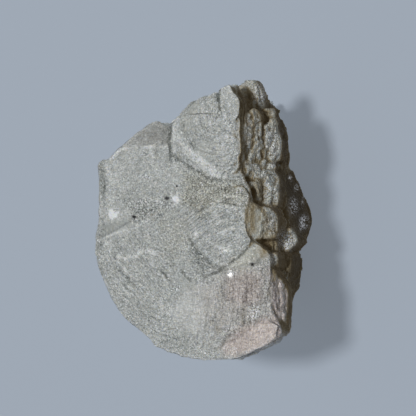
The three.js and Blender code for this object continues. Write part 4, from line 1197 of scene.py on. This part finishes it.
# pink at the blunt end: partly the crystal's tint and partly painted warm light reflected onto it,
# strongest on the lit stack
pink_and_reflection = np.clip(marks["pink_and_reflection"] + 0.5 * stack * scaly, 0, 1)
print("dark:", round(float((shade_and_specks > 0.3).mean()), 3), "of the points")

# %% Growth lines
STREAKS = [  # (outline, the arcs' centre, how strong)
    (FAN, (7.4, 15.2), 0.8), (LENS, (13.0, -15.0), 1.0), (FLANK_LEAF, (9.0, 10.0), 0.7),
    (FACET, (-30.0, -10.0), 0.8),
]


def arcs(centre, number):
    """Distance from a centre, way along the arc, and a number that keeps the shells' patterns apart."""
    spoke = spots[:, :2] - np.asarray(centre)
    reach = np.linalg.norm(spoke, axis=1)
    along = np.arctan2(spoke[:, 1], spoke[:, 0]) * reach
    return np.column_stack([reach, along, np.full(len(spots), 9.0 * number)])


flow, streak = arcs((6.0, -40.0), 0), np.full(len(points), 0.3)
for number, (outline, centre, strength) in enumerate(STREAKS, 1):
    # a shell's streaks fade out towards its edge, and so do its surroundings', so that no seam shows
    within = inside(spots, outline, 2.4)
    core = within > 0.5
    flow[core] = arcs(centre, number)[core]
    streak = np.where(core, strength * ease(within * 3.4 - 2.4), streak * ease(1.0 - within * 3.4))
around = np.where(scaly > 0.5, y, np.arctan2(y - MIDDLE[1], x - MIDDLE[0]) * 14.0)
upright = slope_side > 0.4
flow[upright] = np.column_stack([z + 0.55 * scaly * x, around, 0.0 * x])[upright]
streak[upright] = 0.9
flow += 0.25 * noise3(points, 1.6, 101) * [1.0, 0.0, 0.0]
print("upright:", round(float(upright.mean()), 2), "of the points")

# %% Store them on the skin
def store(name, values):
    kind = "FLOAT_VECTOR" if values.ndim == 2 else "FLOAT"
    field = "vector" if values.ndim == 2 else "value"
    skin.attributes.new(name, kind, "POINT").data.foreach_set(field, values.astype(np.float32).ravel())


for name, values in dict(
    brown_shade=brown_shade, shade_and_specks=shade_and_specks, olive=olive, pink_and_reflection=pink_and_reflection, milk=milk, tone=tone, calm=calm, glint=glint,
    spark=spark, through=through, hollow=fine_hollow, streak=streak, flow=flow,
).items():
    store(name, values)
write_points(skin, points * MM)
skin.polygons.foreach_set("use_smooth", np.ones(len(skin.polygons), bool))
print(len(skin.attributes), "attributes on the skin")

# %% [markdown]
# ## The finish
# Milky crystal with a satin lustre: pale grey-green, cloudy at every size from half a centimetre down to
# a grain, peppered with white points, with streaks along the growth lines. Two node groups do the
# repeated work. The first is a mottle, noise at several sizes in one number. The second scatters points of
# a given size. Both read millimetres, so a size in the material is a size on the stone.

# %% Node helpers
def node(tree, kind, links=(), values=(), **settings):
    """Adds a node, sets its properties, then its inputs by name or number, then links its inputs."""
    made = tree.nodes.new(kind)
    for key, value in settings.items():
        setattr(made, key, value)
    for key, value in dict(values).items():
        made.inputs[key].default_value = value
    for key, source in dict(links).items():
        tree.links.new(source, made.inputs[key])
    return made


def sums(tree, operation, a, b=None, c=None, clamp=False):
    """A Math node of up to three inputs, each a number or a socket."""
    made = tree.nodes.new("ShaderNodeMath")
    made.operation, made.use_clamp = operation, clamp
    for place, value in enumerate((a, b, c)):
        if isinstance(value, bpy.types.NodeSocket):
            tree.links.new(value, made.inputs[place])
        elif value is not None:
            made.inputs[place].default_value = value
    return made.outputs[0]


def mixed(tree, share, first, second):
    """A colour mix; share, first and second are each a value or a socket."""
    made = tree.nodes.new("ShaderNodeMix")
    made.data_type, made.clamp_factor = "RGBA", True
    for socket, value in zip((made.inputs[0], made.inputs[6], made.inputs[7]), (share, first, second)):
        if isinstance(value, bpy.types.NodeSocket):
            tree.links.new(value, socket)
        else:
            socket.default_value = value if isinstance(value, float) else (*value, 1.0)
    return made.outputs[2]


def new_group(name, inputs, outputs):
    """A shader node group with named sockets: inputs are (name, kind, value)."""
    group = bpy.data.node_groups.new(name, "ShaderNodeTree")
    for title, kind, value in inputs:
        socket = group.interface.new_socket(title, in_out="INPUT", socket_type="NodeSocket" + kind)
        if value is not None:
            socket.default_value = value
    for title in outputs:
        group.interface.new_socket(title, in_out="OUTPUT", socket_type="NodeSocketFloat")
    return group, group.nodes.new("NodeGroupInput").outputs, group.nodes.new("NodeGroupOutput").inputs


def scaled_place(tree, place, size):
    """A place divided by a size, so that a texture of scale 1 repeats at that size."""
    scale = sums(tree, "DIVIDE", 1.0, size)
    return node(tree, "ShaderNodeVectorMath", {0: place, "Scale": scale}, operation="SCALE").outputs[0]


# %% Mottle
mottle, given, result = new_group("mottle", [
    ("Place", "Vector", None), ("Size", "Float", 1.0), ("Contrast", "Float", 1.0), ("Detail", "Float", 3.0),
], ["Value"])
cloud = node(
    mottle, "ShaderNodeTexNoise",
    {"Vector": scaled_place(mottle, given["Place"], given["Size"]), "Detail": given["Detail"]},
    {"Scale": 1.0, "Roughness": 0.62})
centred = sums(mottle, "MULTIPLY", sums(mottle, "SUBTRACT", cloud.outputs["Fac"], 0.5), given["Contrast"])
mottle.links.new(sums(mottle, "MULTIPLY", centred, 2.0), result["Value"])

# %% Points
# Each point has its own radius, from 0.2 to 1.4 times the given one, and a rim as wide as half of that.
peppered, given, result = new_group("points", [
    ("Place", "Vector", None), ("Spacing", "Float", 1.0), ("Radius", "Float", 0.1),
], ["Mask"])
cells = node(
    peppered, "ShaderNodeTexVoronoi", {"Vector": scaled_place(peppered, given["Place"], given["Spacing"])},
    {"Scale": 1.0, "Randomness": 1.0})
own = node(peppered, "ShaderNodeSeparateColor", {0: cells.outputs["Color"]}).outputs[0]
radius = sums(peppered, "MULTIPLY", given["Radius"], sums(peppered, "MULTIPLY_ADD", own, 1.2, 0.2))
away = sums(peppered, "MULTIPLY", cells.outputs["Distance"], given["Spacing"])
within, rim = sums(peppered, "SUBTRACT", radius, away), sums(peppered, "MULTIPLY", radius, 0.5)
peppered.links.new(sums(peppered, "DIVIDE", within, rim, clamp=True), result["Mask"])
print([group.name for group in bpy.data.node_groups])

# %% [markdown]
# ### The crystal's material
# One Principled shader, with some light scattered below its surface, stands for milky crystal. A number
# called level says how milky a place is, and each colour runs with it from a clouded tone to a milky one;
# level also falls in fine hollows as painted shade. The finishes are then laid over each other in order,
# as glazes are: white where the crystal is milkiest, a pink tint that is partly painted warm reflected
# light, olive, white points that are partly painted glitter, painted brown shade, painted highlights, dark
# points, and painted black shade in the gaps. Painted image maps could hold the same, but they blur when
# the camera comes near.

# %% Crystal
crystal, tree, shader = principled(
    "milky crystal", Roughness=0.4, IOR=1.53, Specular_IOR_Level=0.4, Subsurface_Weight=0.3,
    Subsurface_Scale=0.0014, Coat_Roughness=0.2,
)
shader.inputs["Subsurface Radius"].default_value = (1.0, 0.85, 0.6)


def stored(name, output="Fac"):
    """What the skin holds under that name at each point."""
    return node(tree, "ShaderNodeAttribute", attribute_name=name).outputs[output]


def times(a, b):
    return sums(tree, "MULTIPLY", a, b)


def total(start, *terms, clamp=False):
    """start plus each term, which is a value and its weight; only the sum is clamped."""
    for number, (value, weight) in enumerate(terms, 1):
        start = sums(tree, "MULTIPLY_ADD", value, weight, start, clamp=clamp and number == len(terms))
    return start


def ramp(value, steepness, start=0.0):
    """A value times a steepness plus a start, kept from 0 to 1."""
    return sums(tree, "MULTIPLY_ADD", value, steepness, start, clamp=True)


def crest(value):
    """A thin line where a value passes through 0: 1 there, and 0 from a sixth on either side."""
    return sums(tree, "MULTIPLY_ADD", sums(tree, "ABSOLUTE", value), -6.0, 1.0, clamp=True)


print("the shader has", len(shader.inputs), "inputs")

# %% Patterns
place = node(tree, "ShaderNodeTexCoord").outputs["Object"]
in_mm = node(tree, "ShaderNodeVectorMath", {0: place}, {"Scale": 1.0 / MM}, operation="SCALE").outputs[0]
STRETCH = (4.5, 0.8, 1.0)  # a growth line's pattern is fine across it and long along it
along_flow = {0: stored("flow", "Vector")}
flowing = node(tree, "ShaderNodeVectorMath", along_flow, {1: STRETCH}, operation="MULTIPLY").outputs[0]


def mottled(place, size, contrast, detail=3.0):
    values = {"Size": size, "Contrast": contrast, "Detail": detail}
    return node(tree, "ShaderNodeGroup", {"Place": place}, values, node_tree=mottle).outputs["Value"]


def scattered(spacing, radius):
    values = {"Spacing": spacing, "Radius": radius}
    return node(tree, "ShaderNodeGroup", {"Place": in_mm}, values, node_tree=peppered).outputs["Mask"]


clouds, grains, fine = mottled(in_mm, 4.5, 1.4), mottled(in_mm, 0.55, 2.0), mottled(in_mm, 0.21, 3.0)
creases, swell, pocks = (
    mottled(in_mm, 0.65, 2.4, 1.0), mottled(in_mm, 0.45, 2.4, 0.6), mottled(in_mm, 0.24, 2.4, 0.3))
grit, white_points, dark_points = scattered(0.42, 0.11), scattered(0.66, 0.14), scattered(3.4, 0.15)
unrest = sums(tree, "SUBTRACT", 1.0, stored("calm"))
streaks = times(mottled(flowing, 1.0, 2.6), times(stored("streak"), unrest))
strands = times(crest(mottled(flowing, 1.9, 2.6)), stored("streak"))
ripples = times(mottled(flowing, 1.6, 2.4, 0.5), stored("streak"))
print("the material has", len(tree.nodes), "nodes so far")

# %% Milkiness
speckle = times(
    total(-0.1, (grains, 0.12), (fine, 0.3), (grit, 0.45), (crest(creases), 0.4)),
    sums(tree, "ADD", stored("glint"), unrest))
# level falls in fine hollows and rises on fine ridges: painted shade and light
level = total(
    0.59, (clouds, 0.18), (speckle, 1.0), (streaks, 0.25), (strands, 0.4), (stored("milk"), 0.4),
    (stored("tone"), 1.0), (stored("hollow"), -0.15))
shade_depth = total(0.0, (stored("brown_shade"), 1.0), (grains, 0.15), (streaks, 0.12))  # how thick the painted brown shade lies
print("the material has", len(tree.nodes), "nodes so far")

# %% Layers of colour
MILKY, CLOUDED = (0.80, 0.82, 0.795), (0.18, 0.197, 0.182)
# the pink tint, partly painted warm reflected light
PINK_AND_REFLECTION, CLOUDED_PINK_AND_REFLECTION = (0.83, 0.74, 0.69), (0.20, 0.165, 0.15)
OLIVE, CLOUDED_OLIVE = (0.80, 0.79, 0.67), (0.18, 0.17, 0.125)
WHITE, BLACK = (0.97, 0.98, 0.98), (0.004, 0.0035, 0.003)
# painted brown shade, light and dark
SHADE_BROWN, DARK_SHADE_BROWN = (0.33, 0.27, 0.165), (0.10, 0.072, 0.036)
colour = mixed(tree, level, CLOUDED, MILKY)
for share, layer in (
    (ramp(level, 1.3, -1.196), WHITE),
    (stored("pink_and_reflection"), mixed(tree, level, CLOUDED_PINK_AND_REFLECTION, PINK_AND_REFLECTION)),
    (times(stored("olive"), 0.75), mixed(tree, level, CLOUDED_OLIVE, OLIVE)),
    # white points: white specks, partly painted glitter
    (times(times(white_points, ramp(grains, 1.2, 0.55)), unrest), WHITE),
    (ramp(stored("milk"), 2.5, -1.5), WHITE),
    # painted brown shade
    (ramp(shade_depth, 1.6), SHADE_BROWN),
    (ramp(shade_depth, 2.2, -1.21), DARK_SHADE_BROWN),
    # painted highlights: white glints where the crystal is glossy
    (times(stored("glint"), ramp(fine, 2.2, 0.1)), WHITE),
    (dark_points, BLACK),
    # painted black shade in the gaps and on dark walls
    (stored("shade_and_specks"), BLACK),
):
    colour = mixed(tree, share, colour, layer)
tree.links.new(colour, shader.inputs["Base Color"])
print("the material has", len(tree.nodes), "nodes so far")

# %% Light from inside
GLOW = (0.014, 0.0095, 0.0038)  # a painted glow: light that has come through the crystal into its shaded gaps
THROUGH = (0.085, 0.09, 0.083)  # daylight that has come through the milky leaves to a side
SPARK = (0.52, 0.55, 0.60)  # crystal points on the dark wall that catch the sky
glow = mixed(tree, ramp(shade_depth, 1.4), BLACK, GLOW)
for share, layer in (
    (stored("through"), THROUGH),
    (times(stored("spark"), ramp(pocks, 6.0, -0.5)), SPARK),
    (stored("shade_and_specks"), BLACK),
):
    glow = mixed(tree, share, glow, layer)
tree.links.new(glow, shader.inputs["Emission Color"])
shader.inputs["Emission Strength"].default_value = 1.0
print("light from inside the clay:", GLOW)

# %% Gloss and grain
rough = total(
    0.24, (grains, 0.1), (stored("calm"), 0.1), (stored("brown_shade"), 0.6), (stored("glint"), -0.2),
    (stored("shade_and_specks"), 0.4), clamp=True)
tree.links.new(rough, shader.inputs["Roughness"])
shown, wet = sums(tree, "SUBTRACT", 1.0, stored("shade_and_specks")), sums(tree, "ADD", stored("glint"), 0.03)
tree.links.new(sums(tree, "MULTIPLY", shown, wet, clamp=True), shader.inputs["Coat Weight"])
BUMP_REACH = 0.0003  # metres between the lowest and the highest grain
lift = times(total(0.0, (ripples, 0.55), (swell, 0.36), (pocks, 0.21)), total(0.3, (unrest, 0.7)))
bump = node(tree, "ShaderNodeBump", {"Height": lift}, {"Strength": 0.9, "Distance": BUMP_REACH})
tree.links.new(bump.outputs["Normal"], shader.inputs["Normal"])
skin.materials.clear()
skin.materials.append(crystal)
print("the crystal's material has", len(tree.nodes), "nodes")

# %% [markdown]
# ## Hand over
# The finished skin stands for the solid of the frame. It rides on the only body, and takes the place of
# the plain solid in every render, while the solid stays for the physics.

# %% Hand over
stone.name = "tunellite"
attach(stone, "root")
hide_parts(NODE)
